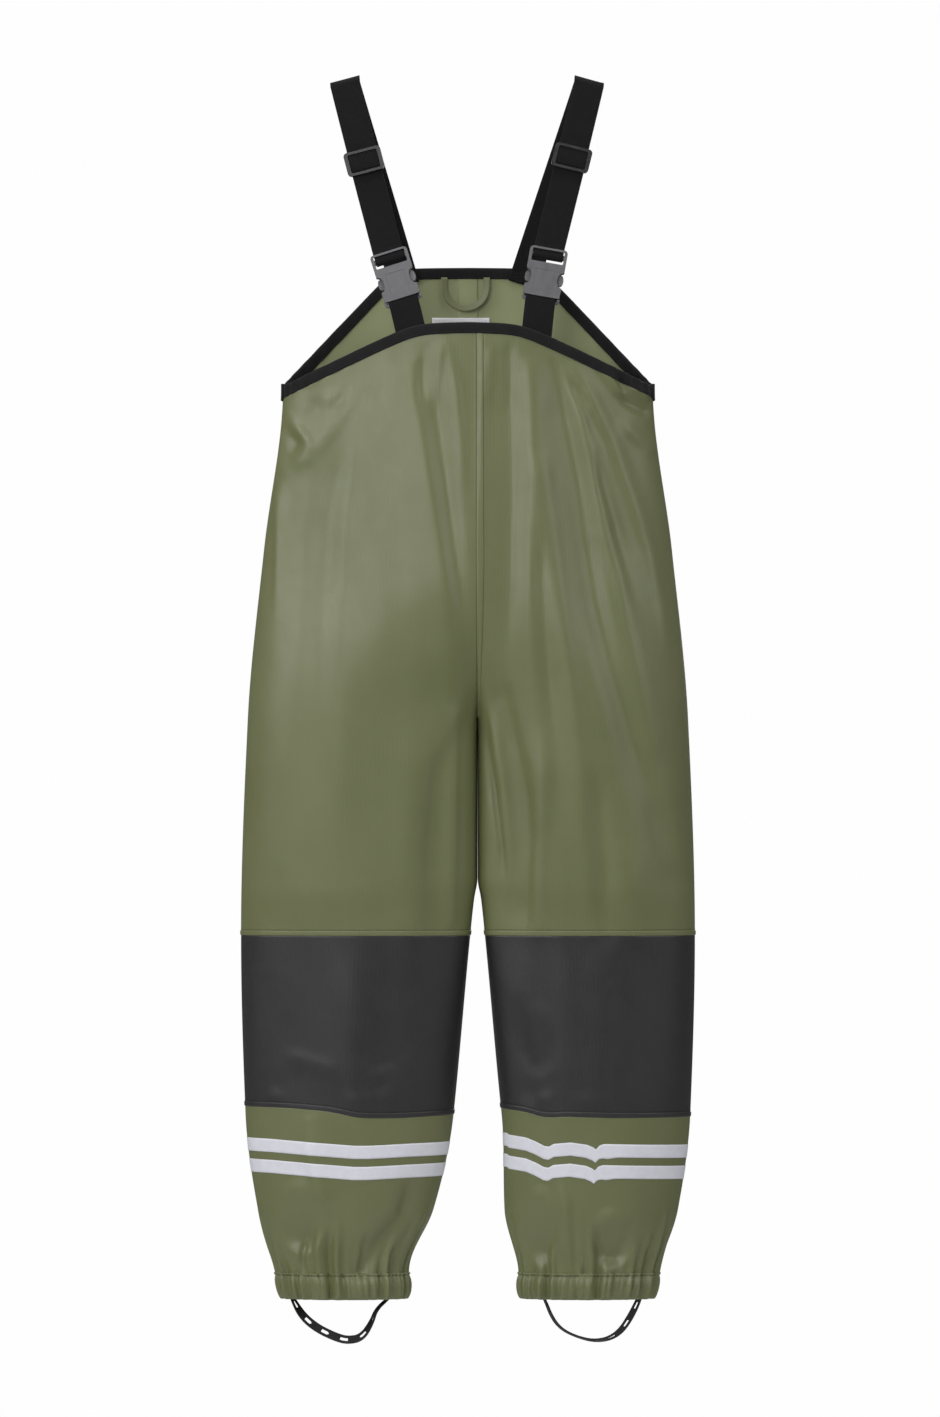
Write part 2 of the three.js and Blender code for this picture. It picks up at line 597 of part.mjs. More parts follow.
  // Slider: a frame with its two end bars in front of the strap and its middle bar behind it.
  const sliderHalf = SLOT_HALF + SLIDER_SIDE;
  const front = WEB_THICK / 2 + SEAM_GAP;
  const sliderFront = front + 2.2;
  const middleFront = -front - LAYER;
  const sliderBack = middleFront - 2.4;
  const slotsHalf = SLIDER_LENGTH / 2 - SLIDER_BAR;
  const sliderSolid = plate(sliderHalf, -SLIDER_LENGTH / 2, SLIDER_LENGTH / 2, 3, 2 * Math.abs(sliderBack))
    .subtract(block([-SLOT_HALF, SLOT_HALF], [-slotsHalf, slotsHalf], [-20, 20]))
    .subtract(block([-SLOT_HALF, SLOT_HALF], [-20, 20], [-20, front]))
    .subtract(block([-40, 40], [-20, 20], [sliderFront, 20]))
    .add(block([1 - sliderHalf, sliderHalf - 1], [-SLIDER_BAR / 2, SLIDER_BAR / 2],
      [sliderBack, middleFront]));
  add(`slider_${name}`, fromManifold(sliderSolid), SLIDER_BLACK, placed(slider, strap));

  // The strap's end, folded round the slider's middle bar and sewn.
  const middle = (sliderBack + middleFront) / 2;
  const foldOut = (middleFront - sliderBack) / 2 + SEAM_GAP + WEB_THICK / 2;
  const endPath = [at(slider, strap, -SLIDER_LENGTH / 2 + 1, middle + foldOut)];
  for (let i = 0; i <= 4; i += 1) {
    const turn = (Math.PI * i) / 4;
    const past = SLIDER_BAR / 2 + foldOut * Math.sin(turn) * 0.8;
    endPath.push(at(slider, strap, past, middle + foldOut * Math.cos(turn)));
  }
  endPath.push(at(slider, strap, -SLIDER_LENGTH / 2 + 1, middle - foldOut));
  add(`strap_end_${name}`, band(endPath, endPath.map(() => strap.u), WEB_WIDTH, WEB_THICK), WEBBING);

  // Side-release buckle: the housing on the strap, and the plug on the tab.
  const buckleGroup = placed(mouth, buckle);
  const housing = plate(HOUSING_HALF, MOUTH_GAP, HOUSING_TOP, 2.5, HOUSING_THICK)
    .subtract(block([-SOCKET_HALF, SOCKET_HALF], [-1, SOCKET_DEPTH], [-SOCKET_THICK / 2, SOCKET_THICK / 2]))
    .subtract(block([-40, 40], WINDOW, [-SOCKET_THICK / 2, SOCKET_THICK / 2]))
    .subtract(block([-SLOT_HALF, SLOT_HALF], [HOUSING_LENGTH, HOUSING_LENGTH + BAR_SLOT], [-20, 20]))
    .subtract(block([-SLOT_HALF, SLOT_HALF], [HOUSING_LENGTH, 60], [BAR_HALF_THICK, 20]))
    .subtract(block([-SLOT_HALF, SLOT_HALF], [HOUSING_LENGTH, 60], [-20, -BAR_HALF_THICK]));
  add(`buckle_housing_${name}`, fromManifold(housing), BUCKLE_GREY, buckleGroup);

  const baseSlot = [-BASE_LENGTH + BASE_BAR, -BASE_LENGTH + BASE_BAR + BASE_SLOT];
  const basePlate = plate(HOUSING_HALF, -BASE_LENGTH, 0, 2, PLUG_THICK)
    .subtract(block([-SLOT_HALF, SLOT_HALF], baseSlot, [-20, 20]))
    .add(block([-TONGUE_HALF, TONGUE_HALF], [-1, SOCKET_DEPTH - 6], [-PLUG_THICK / 2, PLUG_THICK / 2]));
  add(`buckle_plug_${name}`, fromManifold(basePlate), BUCKLE_GREY, buckleGroup);

  // The plug's two prongs, each with a pad that fills one side window.
  for (const [where, direction] of [['outer', side], ['inner', -side]]) {
    const shape = new THREE.Shape();
    const tip = WINDOW[1] + 2.5;
    shape.moveTo(PRONG_ROOT, SEAM_GAP);
    shape.lineTo(PRONG_ROOT + PRONG_WIDTH, SEAM_GAP);
    shape.lineTo(PRONG_ROOT + PRONG_WIDTH, WINDOW[0] + 0.5);
    shape.lineTo(HOUSING_HALF - 0.5, WINDOW[0] + 0.5);
    shape.quadraticCurveTo(HOUSING_HALF + 0.6, WINDOW[0] + 5, HOUSING_HALF - 1.6, WINDOW[1] - 1.2);
    shape.lineTo(SOCKET_HALF - 0.6, WINDOW[1] - 0.6);
    shape.lineTo(PRONG_ROOT + PRONG_WIDTH, tip);
    shape.lineTo(PRONG_ROOT, tip);
    shape.closePath();
    const geometry = extrude(shape, PLUG_THICK, 4);
    const prong = add(`buckle_prong_${where}_${name}`, geometry, BUCKLE_GREY, buckleGroup);
    if (direction < 0) prong.rotation.y = Math.PI;
  }
}

// ---------------------------------------------------------------- inside the back neck
// Hang loop: a tape sewn at both ends just under the back binding.
const loopZ = -BINDING_WIDTH - 2;
const loopY = shellAtX(BACK, 0, loopZ, INSIDE - LOOP_THICK / 2 - 1).y;
const loop = new THREE.Shape();
const loopOut = LOOP_HALF + LOOP_TAPE / 2;
const loopIn = LOOP_HALF - LOOP_TAPE / 2;
loop.moveTo(-loopOut, 0);
loop.lineTo(-loopOut, -LOOP_DROP + loopOut);
loop.absarc(0, -LOOP_DROP + loopOut, loopOut, Math.PI, Math.PI * 2);
loop.lineTo(loopOut, 0);
loop.lineTo(loopIn, 0);
loop.lineTo(loopIn, -LOOP_DROP + loopOut);
loop.absarc(0, -LOOP_DROP + loopOut, loopIn, Math.PI * 2, Math.PI, true);
loop.lineTo(-loopIn, 0);
loop.closePath();
const hangLoop = add('hang_loop', extrude(loop, LOOP_THICK, 12), GREEN);
hangLoop.rotation.x = Math.PI / 2;
hangLoop.position.set(LABEL_X / 3, loopY, loopZ);

// Care label: a blank strip sewn inside the back panel.
const labelRow = (z, offset) => [0, 1, 2, 3].map((i) => (
  shellAtX(BACK, LABEL_X + LABEL_WIDTH * (i / 3 - 0.5), z, -WALL - offset)));
const labelRows = [-LABEL_DROP, -LABEL_DROP - LABEL_HEIGHT / 2, -LABEL_DROP - LABEL_HEIGHT];
add('care_label', shell(
  labelRows.map((z) => labelRow(z, 0.5)),
  labelRows.map((z) => labelRow(z, 1.0)),
), LABEL_WHITE);

// The flat middle of the back binding has its centre at the origin, facing +Y.
const neckTop = edgePoint(BACK, 1, 1 / ACROSS, 0, BINDING_PROUD);
const neckLow = edgePoint(BACK, 1, 1 / ACROSS, BINDING_WIDTH, BINDING_PROUD);
object.position.set(0, -(neckTop.y + neckLow.y) / 2, -(neckTop.z + neckLow.z) / 2);

export default object;
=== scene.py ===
"""Children's coated rain trousers with a bib, hung from the folds of their shoulder straps."""
import json
import math

import bmesh
import bpy
import numpy as np
from mathutils import Matrix, Vector


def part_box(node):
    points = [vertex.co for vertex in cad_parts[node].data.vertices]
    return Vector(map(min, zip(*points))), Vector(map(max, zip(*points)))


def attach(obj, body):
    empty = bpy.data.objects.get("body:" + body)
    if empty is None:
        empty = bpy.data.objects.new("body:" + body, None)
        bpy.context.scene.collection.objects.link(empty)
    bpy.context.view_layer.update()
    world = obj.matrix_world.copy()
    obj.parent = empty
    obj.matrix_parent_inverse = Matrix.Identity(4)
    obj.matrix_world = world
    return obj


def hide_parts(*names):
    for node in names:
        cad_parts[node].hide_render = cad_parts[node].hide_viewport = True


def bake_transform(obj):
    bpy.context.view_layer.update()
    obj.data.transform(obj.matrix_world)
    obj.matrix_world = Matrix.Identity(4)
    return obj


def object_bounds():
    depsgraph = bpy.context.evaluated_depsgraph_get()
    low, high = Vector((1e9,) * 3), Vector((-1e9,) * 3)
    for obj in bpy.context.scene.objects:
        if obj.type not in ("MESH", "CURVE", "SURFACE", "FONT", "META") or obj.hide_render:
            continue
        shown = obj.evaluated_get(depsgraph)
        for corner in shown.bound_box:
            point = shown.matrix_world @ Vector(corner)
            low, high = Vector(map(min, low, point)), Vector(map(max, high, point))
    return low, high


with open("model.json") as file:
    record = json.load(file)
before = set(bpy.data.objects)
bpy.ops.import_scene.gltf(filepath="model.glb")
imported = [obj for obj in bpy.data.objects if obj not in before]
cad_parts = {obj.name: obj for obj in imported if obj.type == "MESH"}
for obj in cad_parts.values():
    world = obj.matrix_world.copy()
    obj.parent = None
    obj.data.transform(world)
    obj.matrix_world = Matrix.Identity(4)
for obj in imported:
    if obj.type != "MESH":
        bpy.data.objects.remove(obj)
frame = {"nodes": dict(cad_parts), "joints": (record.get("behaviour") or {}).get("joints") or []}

cad_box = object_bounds()

# ---------------------------------------------------------------- camera and light
# A long lens looks straight at the front from well back. A soft light stands in front on the
# left, a second one far to the left rakes across the folds, and the room is white.
CAMERA_AT = (0.0017, -9.838, -0.360)
LENS = 300
camera = bpy.data.objects.new("camera", bpy.data.cameras.new("camera"))
camera.data.lens = LENS
camera.data.sensor_width = 36
camera.location = CAMERA_AT
camera.rotation_euler = (math.pi / 2, 0, 0)
bpy.context.scene.collection.objects.link(camera)
bpy.context.scene.camera = camera
bpy.context.scene.view_settings.view_transform = "Standard"

# Each lamp's name, place, width in metres and watts.
LIGHTS = [
    ("front", (-1.0, -2.8, 0.66), 1.45, 28),
    ("rake", (-2.0, -1.25, 0.50), 1.2, 20),
    ("fill", (2.3, -1.8, 0.7), 1.6, 18),
    ("top", (0.1, -0.6, 2.2), 1.2, 20),
    ("behind", (0.3, 2.6, 0.6), 2.0, 20),
]
MIDDLE = Vector((0, -0.037, -0.36))
for label, place, size, power in LIGHTS:
    lamp = bpy.data.objects.new(label, bpy.data.lights.new(label, "AREA"))
    lamp.data.shape = "SQUARE"
    lamp.data.size = size
    lamp.data.energy = power
    lamp.location = place
    lamp.rotation_euler = (MIDDLE - Vector(place)).to_track_quat("-Z", "Y").to_euler()
    bpy.context.scene.collection.objects.link(lamp)

# The room's own light grows from the floor to overhead, and what the camera sees of it is white.
GLOW = {"From Min": -0.6, "From Max": 0.9, "To Min": 0.03, "To Max": 0.33}
room = bpy.data.worlds.new("room")
room.use_nodes = True
bpy.context.scene.world = room
room_nodes = room.node_tree.nodes
glow = room_nodes["Background"]
glow.inputs["Color"].default_value = (1, 1, 1, 1)
way = room_nodes.new("ShaderNodeTexCoord")
height = room_nodes.new("ShaderNodeSeparateXYZ")
room.node_tree.links.new(way.outputs["Generated"], height.inputs[0])
fade = room_nodes.new("ShaderNodeMapRange")
for key, amount in GLOW.items():
    fade.inputs[key].default_value = amount
room.node_tree.links.new(height.outputs["Z"], fade.inputs["Value"])
room.node_tree.links.new(fade.outputs["Result"], glow.inputs["Strength"])
seen = room_nodes.new("ShaderNodeBackground")
seen.inputs["Color"].default_value = (0.99, 0.99, 0.99, 1)
rays = room_nodes.new("ShaderNodeLightPath")
either = room_nodes.new("ShaderNodeMixShader")
room.node_tree.links.new(rays.outputs["Is Camera Ray"], either.inputs[0])
room.node_tree.links.new(glow.outputs[0], either.inputs[1])
room.node_tree.links.new(seen.outputs[0], either.inputs[2])
room.node_tree.links.new(either.outputs[0], room_nodes["World Output"].inputs["Surface"])

# ---------------------------------------------------------------- back panels
# Left and right back of the trousers, polyester knit coated with green polyurethane, cut in one
# from the neck to the cuff. They are welded to each other down the middle and to the front.
# Heights below the back neck: the seams, where the crotch opens, and where the elastic starts
# to draw the leg in.
BODY_RISE = 0.376
CROTCH_Z = -BODY_RISE
OPEN_Z = -0.51306
KNEE_Z = -0.554
SHIN_Z = -0.702
DRAWN_Z = -0.7818
CUFF_Z = -0.835
HEM_Z = -0.856
# The body turns into two legs from this height, over this drop.
PARTING_TOP = -0.205
PARTING = 0.187
# How pointed the side edges are: 1 is an ellipse, and less is blunter.
SIDE_CORNER = 1.15
CLOTH = 0.0007
FRONT = -1
BACK = 1
cuff_low, cuff_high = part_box("cuff_left")
HUNG = Vector((0, (cuff_low.y + cuff_high.y) / 2, cuff_low.z - HEM_Z))


def along(*stations):
    """A smooth curve through (height, value) stations listed from the top down."""
    levels = np.array([s[0] for s in stations])
    values = np.array([s[1] for s in stations], float)
    steps = np.diff(values) / np.diff(levels)
    slopes = np.zeros(len(values))
    for i in range(1, len(values) - 1):
        before, after = steps[i - 1], steps[i]
        if before * after > 0:
            slopes[i] = 2 * before * after / (before + after)

    def value(z):
        z = np.asarray(z, float)
        i = np.clip(np.searchsorted(-levels, -z, side="right") - 1, 0, len(levels) - 2)
        span = levels[i + 1] - levels[i]
        t = np.clip((z - levels[i]) / span, 0, 1)
        return (values[i] * (1 + 2 * t) * (1 - t) ** 2 + values[i + 1] * t * t * (3 - 2 * t)
                + span * (slopes[i] * t * (1 - t) ** 2 + slopes[i + 1] * t * t * (t - 1)))
    return value


half_width = along((-0.099, 0.1536), (-0.235, 0.1695), (CROTCH_Z, 0.183), (KNEE_Z, 0.1886),
                   (SHIN_Z, 0.1848), (DRAWN_Z, 0.1745), (CUFF_Z, 0.1576), (HEM_Z, 0.1541))
half_gap = along((CROTCH_Z, 0), (-0.507, 0.00008), (-0.524, 0.0028), (KNEE_Z, 0.006),
                 (SHIN_Z, 0.0198), (DRAWN_Z, 0.0295), (CUFF_Z, 0.047))
depth_at = along((0, 0.036), (-0.282, 0.055), (OPEN_Z, 0.050), (KNEE_Z, 0.045),
                 (SHIN_Z, 0.043), (DRAWN_Z, 0.037), (CUFF_Z, 0.030))
front_seam = along((SHIN_Z, 0.008), (CUFF_Z, -0.003))
inner_corner = along((CROTCH_Z, 0.45), (KNEE_Z, 0.55), (SHIN_Z, 0.85), (CUFF_Z, SIDE_CORNER))
back_seam = along((0, 0), (CROTCH_Z, 0.008), (SHIN_Z, 0.008), (CUFF_Z, -0.003))


def smooth(t):
    """Eases from 0 to 1."""
    t = np.clip(t, 0, 1)
    return t * t * (3 - 2 * t)


def leg_drop(z):
    """0 where the body is one tube, 1 where it has parted into two legs."""
    t = np.clip((PARTING_TOP - np.asarray(z, float)) / PARTING, 0, 1)
    return t ** 3 * (t * (6 * t - 15) + 10)


def across_at(face, side, part, z):
    """Angle, inner edge and reach of the shell at `part` (0 middle seam, 1 side seam)."""
    drop = leg_drop(z)
    seam = front_seam(z) if face == FRONT else back_seam(z)
    inner = seam + side * half_gap(z)
    reach = side * (side * half_width(z) - inner) / (1 + drop)
    first = -np.arcsin(drop)
    return first + (math.pi / 2 - first) * part, inner, reach, drop


def x_at(face, side, part, z):
    """How far across the shell a part of it lies."""
    angle, inner, reach, drop = across_at(face, side, part, z)
    return inner + side * reach * (drop + np.sin(angle))


def part_at(face, side, x, z):
    """The part of the shell that lies at x."""
    _, inner, reach, drop = across_at(face, side, 0, z)
    first = -np.arcsin(drop)
    angle = np.arcsin(np.clip(side * (x - inner) / reach - drop, -1, 1))
    return (angle - first) / (math.pi / 2 - first)


# Each fold is a line down the cloth: (x, z, height) points in millimetres, positive outwards,
# and how wide it is to its left and right.
FRONT_FOLDS = [
    # left half: a broad band from the tab's foot to the knee, between two crests
    ([(-52, -70, 0.6), (-41, -130, 1.9), (-30, -192, 2.4), (-20, -254, 2.4), (-7, -312, 1.8),
      (-2, -350, 0.5)], 26, 9),
    ([(-58, -70, 0.5), (-74, -113, 1.3), (-90, -158, 1.6), (-97, -216, 1.5), (-100, -300, 0.9),
      (-104, -400, 0.4), (-108, -500, 0)], 11, 26),
    ([(-100, -140, 0), (-114, -185, -1.8), (-120, -240, -1.6), (-124, -330, -1.0),
      (-130, -420, -0.6), (-134, -500, 0)], 14, 12),
    ([(-30, -70, -0.5), (-25, -130, -1.3), (-16, -200, -1.6), (-8, -268, -1.3),
      (-4, -330, -0.4)], 8, 7),
    ([(-16, -66, 0.4), (-9, -102, 1.2), (-5, -150, 0.9), (-3, -200, 0)], 7, 4),
    ([(-36, -60, 0), (-37, -72, -1.0), (-38, -100, -1.2), (-36, -130, 0)], 4, 4),
    ([(-22, -60, 0), (-24, -74, 0.9), (-26, -96, 0.7), (-25, -120, 0)], 4, 4),
    ([(34, -60, 0), (34, -74, -0.9), (35, -104, -0.8), (36, -130, 0)], 4, 5),
    ([(20, -60, 0), (19, -74, 0.8), (18, -100, 0.5), (18, -120, 0)], 4, 4),
    # left corner: creases that pull from the side seam
    ([(-88, -84, 0.2), (-98, -112, 1.0), (-112, -134, 1.2), (-132, -158, 1.1),
      (-150, -168, 0.3)], 8, 8),
    ([(-150, -122, 0.3), (-136, -140, 1.0), (-131, -148, 0.8), (-140, -160, 0.2)], 5, 5),
    ([(-152, -136, -0.5), (-143, -146, -1.2), (-150, -156, -0.4)], 6, 5),
    ([(-128, -104, -0.5), (-126, -118, -1.2), (-134, -130, -0.3)], 6, 7),
    ([(-108, -98, 0.2), (-112, -108, 0.8), (-118, -118, 0.2)], 5, 5),
    ([(-98, -92, -0.2), (-101, -108, -0.9), (-110, -122, -0.1)], 5, 5),
    ([(-157, -172, 0), (-158, -200, 1.0), (-158, -250, 1.0), (-160, -300, 0)], 4, 6),
    # right half: two branches of one broad crest
    ([(50, -64, 0.8), (53, -113, 2.2), (54, -157, 2.2), (52, -216, 2.0), (51, -285, 1.7),
      (53, -340, 1.2), (57, -410, 0.6), (60, -470, 0)], 8, 13),
    ([(60, -150, 0), (63, -175, 1.6), (71, -237, 2.3), (81, -319, 2.3), (91, -388, 1.9),
      (96, -440, 1.5), (99, -500, 0.8), (100, -545, 0.3)], 12, 8),
    ([(60, -215, 0), (60, -260, -1.0), (65, -330, -1.0), (75, -410, 0)], 5, 5),
    # right half: the long valley that runs from the tab to the outer knee
    ([(73, -72, -0.8), (82, -128, -2.8), (90, -175, -3.4), (96, -223, -3.5), (106, -278, -3.5),
      (120, -336, -3.4), (138, -395, -3.0), (155, -450, -2.4), (170, -501, -1.0),
      (177, -530, 0)], 13, 9),
    ([(75, -72, 0.6), (92, -127, 2.0), (102, -164, 2.0), (114, -223, 1.9), (125, -257, 1.8),
      (136, -310, 1.2), (150, -380, 0.6), (160, -420, 0)], 6, 10),
    ([(104, -150, 0), (112, -180, -1.4), (122, -214, -1.4), (132, -256, -0.6),
      (140, -290, 0)], 5, 6),
    ([(78, -72, 0.3), (92, -96, 1.5), (102, -110, 2.1), (119, -144, 1.6), (136, -192, 1.6),
      (150, -237, 1.3), (160, -278, 0.8), (168, -340, 0)], 5, 8),
    ([(82, -80, -0.4), (92, -106, -1.8), (100, -124, -0.8), (106, -150, 0)], 4, 5),
    # right corner: short pulls under the binding
    ([(108, -82, 0.3), (118, -94, 1.6), (124, -104, 1.2), (132, -118, 0)], 3.5, 5),
    ([(118, -104, 0), (130, -112, -1.9), (146, -120, -1.3), (154, -122, 0)], 4, 5),
    ([(128, -94, 0.2), (136, -102, 1.6), (148, -106, 1.4), (154, -108, 0)], 3.5, 4),
    ([(122, -88, -0.2), (128, -99, -1.4), (134, -106, 0)], 3, 3),
    ([(124, -124, 0), (134, -136, 1.2), (150, -150, 0.6), (158, -160, 0)], 6, 7),
    # beside the middle seam
    ([(28, -70, 0), (34, -130, -1.4), (36, -200, -2.1), (35, -270, -2.0), (32, -330, -0.6),
      (30, -370, 0)], 20, 7),
    ([(13, -64, 0.6), (12, -110, 0.9), (12, -170, 0.4), (12, -230, 0)], 4, 5),
    # crotch, left leg
    ([(-8, -352, 0.4), (-16, -380, 1.5), (-34, -410, 1.2), (-42, -470, 1.2), (-44, -540, 0.6)],
     22, 9),
    ([(-20, -385, 0), (-27, -430, -1.3), (-28, -480, -1.7), (-27, -545, -1.2),
      (-30, -600, 0)], 11, 10),
    ([(12, -395, 0), (22, -440, -1.6), (26, -500, -2.0), (24, -550, -1.0),
      (24, -600, 0)], 14, 12),
    ([(-10, -372, 0.3), (-11, -410, 1.0), (-12, -470, 1.0), (-13, -540, 0.6)], 6, 4),
    # crotch, right leg
    ([(16, -336, -0.8), (29, -358, -2.8), (38, -400, -4.2), (46, -438, -4.6), (49, -474, -4.4),
      (47, -526, -3.4), (44, -553, -1.4), (38, -610, 0)], 21, 8),
    ([(14, -350, 0.6), (21, -388, 1.8), (26, -422, 1.8), (31, -474, 1.1), (34, -540, 0)], 4, 6),
    ([(12, -380, -0.4), (18, -430, -1.8), (25, -480, -1.0), (28, -510, 0)], 2.6, 3),
    ([(62, -370, 0), (62, -422, 1.4), (55, -491, 1.6), (58, -545, 1.0)], 9, 8),
    ([(103, -410, 0), (108, -450, -1.6), (112, -500, -1.8), (114, -553, -1.0)], 9, 10),
    ([(128, -470, 0), (134, -510, 1.0), (138, -553, 0.5)], 12, 12),
    # knees
    ([(-96, -556, 0.6), (-97, -610, 1.4), (-98, -660, 1.3), (-98, -700, 0.5)], 22, 16),
    ([(-158, -652, 0), (-140, -655, 0.5), (-118, -662, 0.4), (-104, -664, 0)], 9, 6),
    ([(-76, -664, 0.1), (-66, -667, 0.6), (-60, -660, 0.2)], 8, 6),
    ([(-78, -684, 0), (-68, -674, -0.6), (-58, -664, 0)], 5, 5),
    ([(-170, -690, 0), (-160, -687, 0.5), (-148, -689, 0)], 6, 6),
    ([(-110, -692, 0), (-95, -690, 0.6), (-70, -690, 0.5), (-58, -694, 0)], 8, 7),
    ([(78, -556, 0.5), (80, -600, 1.3), (82, -660, 1.1), (82, -700, 0.4)], 18, 22),
    ([(38, -600, 0), (44, -640, -1.4), (48, -680, -1.0), (52, -700, 0)], 8, 8),
    ([(58, -698, 0.2), (64, -690, 0.7), (74, -686, 0.2)], 7, 7),
    ([(82, -692, 0), (100, -690, 0.5), (120, -693, 0)], 7, 7),
    # shins
    ([(-131, -708, 0.6), (-130, -740, 1.5), (-124, -765, 1.9), (-116, -780, 0.6)], 5, 9),
    ([(-47, -752, 0), (-49, -768, -1.7), (-54, -786, -2.6), (-76, -811, -2.6),
      (-88, -832, -1.6)], 6, 7),
    ([(-82, -796, 0), (-86, -812, -1.4), (-89, -832, -1.6)], 3, 4),
    ([(-58, -806, 0), (-63, -820, -1.4), (-65, -833, -1.2)], 2.5, 3),
    ([(-134, -800, 0), (-137, -815, -1.5), (-139, -833, -1.6)], 3, 3),
    ([(74, -750, 0), (81, -778, 1.5), (84, -804, 1.2), (84, -832, 0.4)], 7, 5),
    ([(96, -820, 0), (96, -834, -1.4)], 2.5, 3),
    ([(140, -800, 0), (150, -820, -1.0), (146, -834, -0.6)], 5, 4),
]
# Rounded hollows, deepest at the bottom: middle x and z, half width and height, and depth, in
# millimetres.
FRONT_HOLLOWS = [
    (-138, -786, 20, 30, -3.8),
    (60, -794, 14, 32, -3.2),
    (119, -804, 18, 24, -3.7),
    (-70, -640, 26, 30, -0.8),
    (58, -640, 18, 30, -0.8),
]
BACK_FOLDS = [
    ([(-50, -30, 0.6), (-56, -90, 2.2), (-66, -160, 2.2), (-78, -230, 1.4), (-86, -300, 0)],
     14, 10),
    ([(50, -30, 0.6), (54, -90, 2.0), (68, -160, 2.4), (82, -240, 1.6), (92, -320, 0)], 10, 14),
    ([(-24, -40, 0), (-22, -110, -1.6), (-20, -200, -1.8), (-14, -290, 0)], 9, 8),
    ([(24, -60, 0), (28, -130, -1.8), (30, -210, -1.6), (24, -290, 0)], 8, 9),
    ([(-110, -80, 0), (-118, -130, 1.8), (-134, -190, 1.8), (-150, -240, 0.4)], 8, 12),
    ([(112, -84, 0), (124, -130, 2.0), (140, -180, 1.4), (152, -230, 0)], 12, 7),
    ([(-150, -120, -0.4), (-136, -132, -2.0), (-118, -150, 0)], 5, 6),
    ([(148, -118, -0.4), (134, -130, -1.8), (118, -140, 0)], 5, 5),
    ([(-6, -300, 0.2), (-28, -330, 1.8), (-58, -352, 2.2), (-96, -360, 1.6), (-140, -352, 0)],
     9, 12),
    ([(18, -306, 0.2), (44, -336, 2.0), (80, -356, 2.0), (120, -362, 1.2), (150, -356, 0)],
     12, 9),
    ([(-14, -352, -0.6), (-40, -376, -2.4), (-78, -392, -1.8), (-120, -394, 0)], 6, 8),
    ([(26, -356, -0.6), (54, -382, -2.4), (92, -396, -1.4), (130, -392, 0)], 8, 6),
    ([(-20, -400, 0), (-34, -450, 1.8), (-44, -520, 1.6), (-52, -600, 1.0), (-60, -680, 0)],
     10, 8),
    ([(34, -400, 0), (48, -460, 2.0), (56, -540, 1.8), (70, -640, 1.0), (80, -720, 0)], 8, 10),
    ([(-130, -430, 0), (-126, -500, 1.6), (-118, -580, 1.4), (-120, -660, 0)], 12, 12),
    ([(136, -440, 0), (130, -520, 1.8), (122, -600, 1.2), (126, -690, 0)], 12, 12),
    ([(-92, -470, 0), (-86, -550, -1.8), (-88, -640, 0)], 10, 9),
    ([(98, -480, 0), (92, -560, -2.0), (96, -650, 0)], 9, 10),
    ([(-160, -600, 0), (-120, -618, -1.6), (-80, -612, -1.2), (-44, -620, 0)], 6, 7),
    ([(40, -612, 0), (84, -624, -1.6), (130, -614, -1.4), (160, -626, 0)], 7, 6),
    ([(-66, -740, 0), (-72, -780, -2.0), (-80, -832, -1.2)], 6, 6),
    ([(84, -744, 0), (92, -786, -2.2), (98, -832, -1.2)], 6, 6),
    ([(-128, -750, 0), (-122, -790, 1.6), (-118, -832, 0.6)], 8, 8),
    ([(60, -760, 0), (62, -800, 1.4), (62, -832, 0.5)], 6, 6),
]
BACK_HOLLOWS = [
    (-110, -790, 18, 28, -2.2),
    (136, -786, 16, 28, -2.4),
    (-60, -560, 26, 40, -1.0),
    (70, -500, 26, 40, -1.0),
]


def fold_height(folds, hollows, x, z):
    """How far the folds lift the cloth at x and z, all in metres."""
    x, z = np.asarray(x) * 1000, np.asarray(z) * 1000
    total = np.zeros(np.broadcast(x, z).shape)
    for line, left, right in folds:
        near = np.full(total.shape, 1e9)
        signed = np.zeros(total.shape)
        height = np.zeros(total.shape)
        for (x0, z0, h0), (x1, z1, h1) in zip(line, line[1:]):
            dx, dz = x1 - x0, z1 - z0
            t = np.clip(((x - x0) * dx + (z - z0) * dz) / (dx * dx + dz * dz), 0, 1)
            off_x, off_z = x - x0 - t * dx, z - z0 - t * dz
            far = np.hypot(off_x, off_z)
            closer = far < near
            near = np.where(closer, far, near)
            signed = np.where(closer, dx * off_z - dz * off_x, signed)
            height = np.where(closer, h0 + (h1 - h0) * smooth(t), height)
        wide = np.where(signed < 0, left, right)
        total += height * np.exp(-((near / wide) ** 2))
    for x0, z0, wide, tall, height in hollows:
        out = np.hypot((x - x0) / wide, (z - z0) / tall)
        total += height * (1 - smooth((out - 0.55) / 0.6)) * (0.4 - (z - z0) / tall)
    return total / 1000


def sway(x, z, phase):
    """The slow, slightly uneven wave that coated cloth has everywhere."""
    x, z = np.asarray(x) * 1000, np.asarray(z) * 1000
    return (0.55 * np.sin(x / 17 + z / 210 + phase) * np.sin(z / 95 + 1.3 * phase)
            + 0.35 * np.sin(x / 9.5 - z / 120 + 2.1 * phase) * np.sin(z / 61 + x / 80)
            + 0.22 * np.sin(x / 6.1 + z / 33 + phase) * np.sin(z / 27 - x / 31)) / 1000


FOLD_GAIN = 1.6
SWAY_PHASE = {FRONT: 0.0, BACK: 2.4}
# Where each bib tab meets the bib's edge, and how far it leans. The cloth is pressed flat round
# its foot: by what share, to what half width, down to what height, and fading over what height.
TAB_FOOT = {"left": (-0.0485, math.radians(13)), "right": (0.0575, math.radians(6))}
TAB_PRESS, TAB_REACH, TAB_END, TAB_FADE = 0.85, 0.018, -0.084, 0.012
# Folds fade out over these shares of a panel, beside its side seam and its inseam.
SIDE_CALM = 0.16
INSEAM_CALM = 0.14
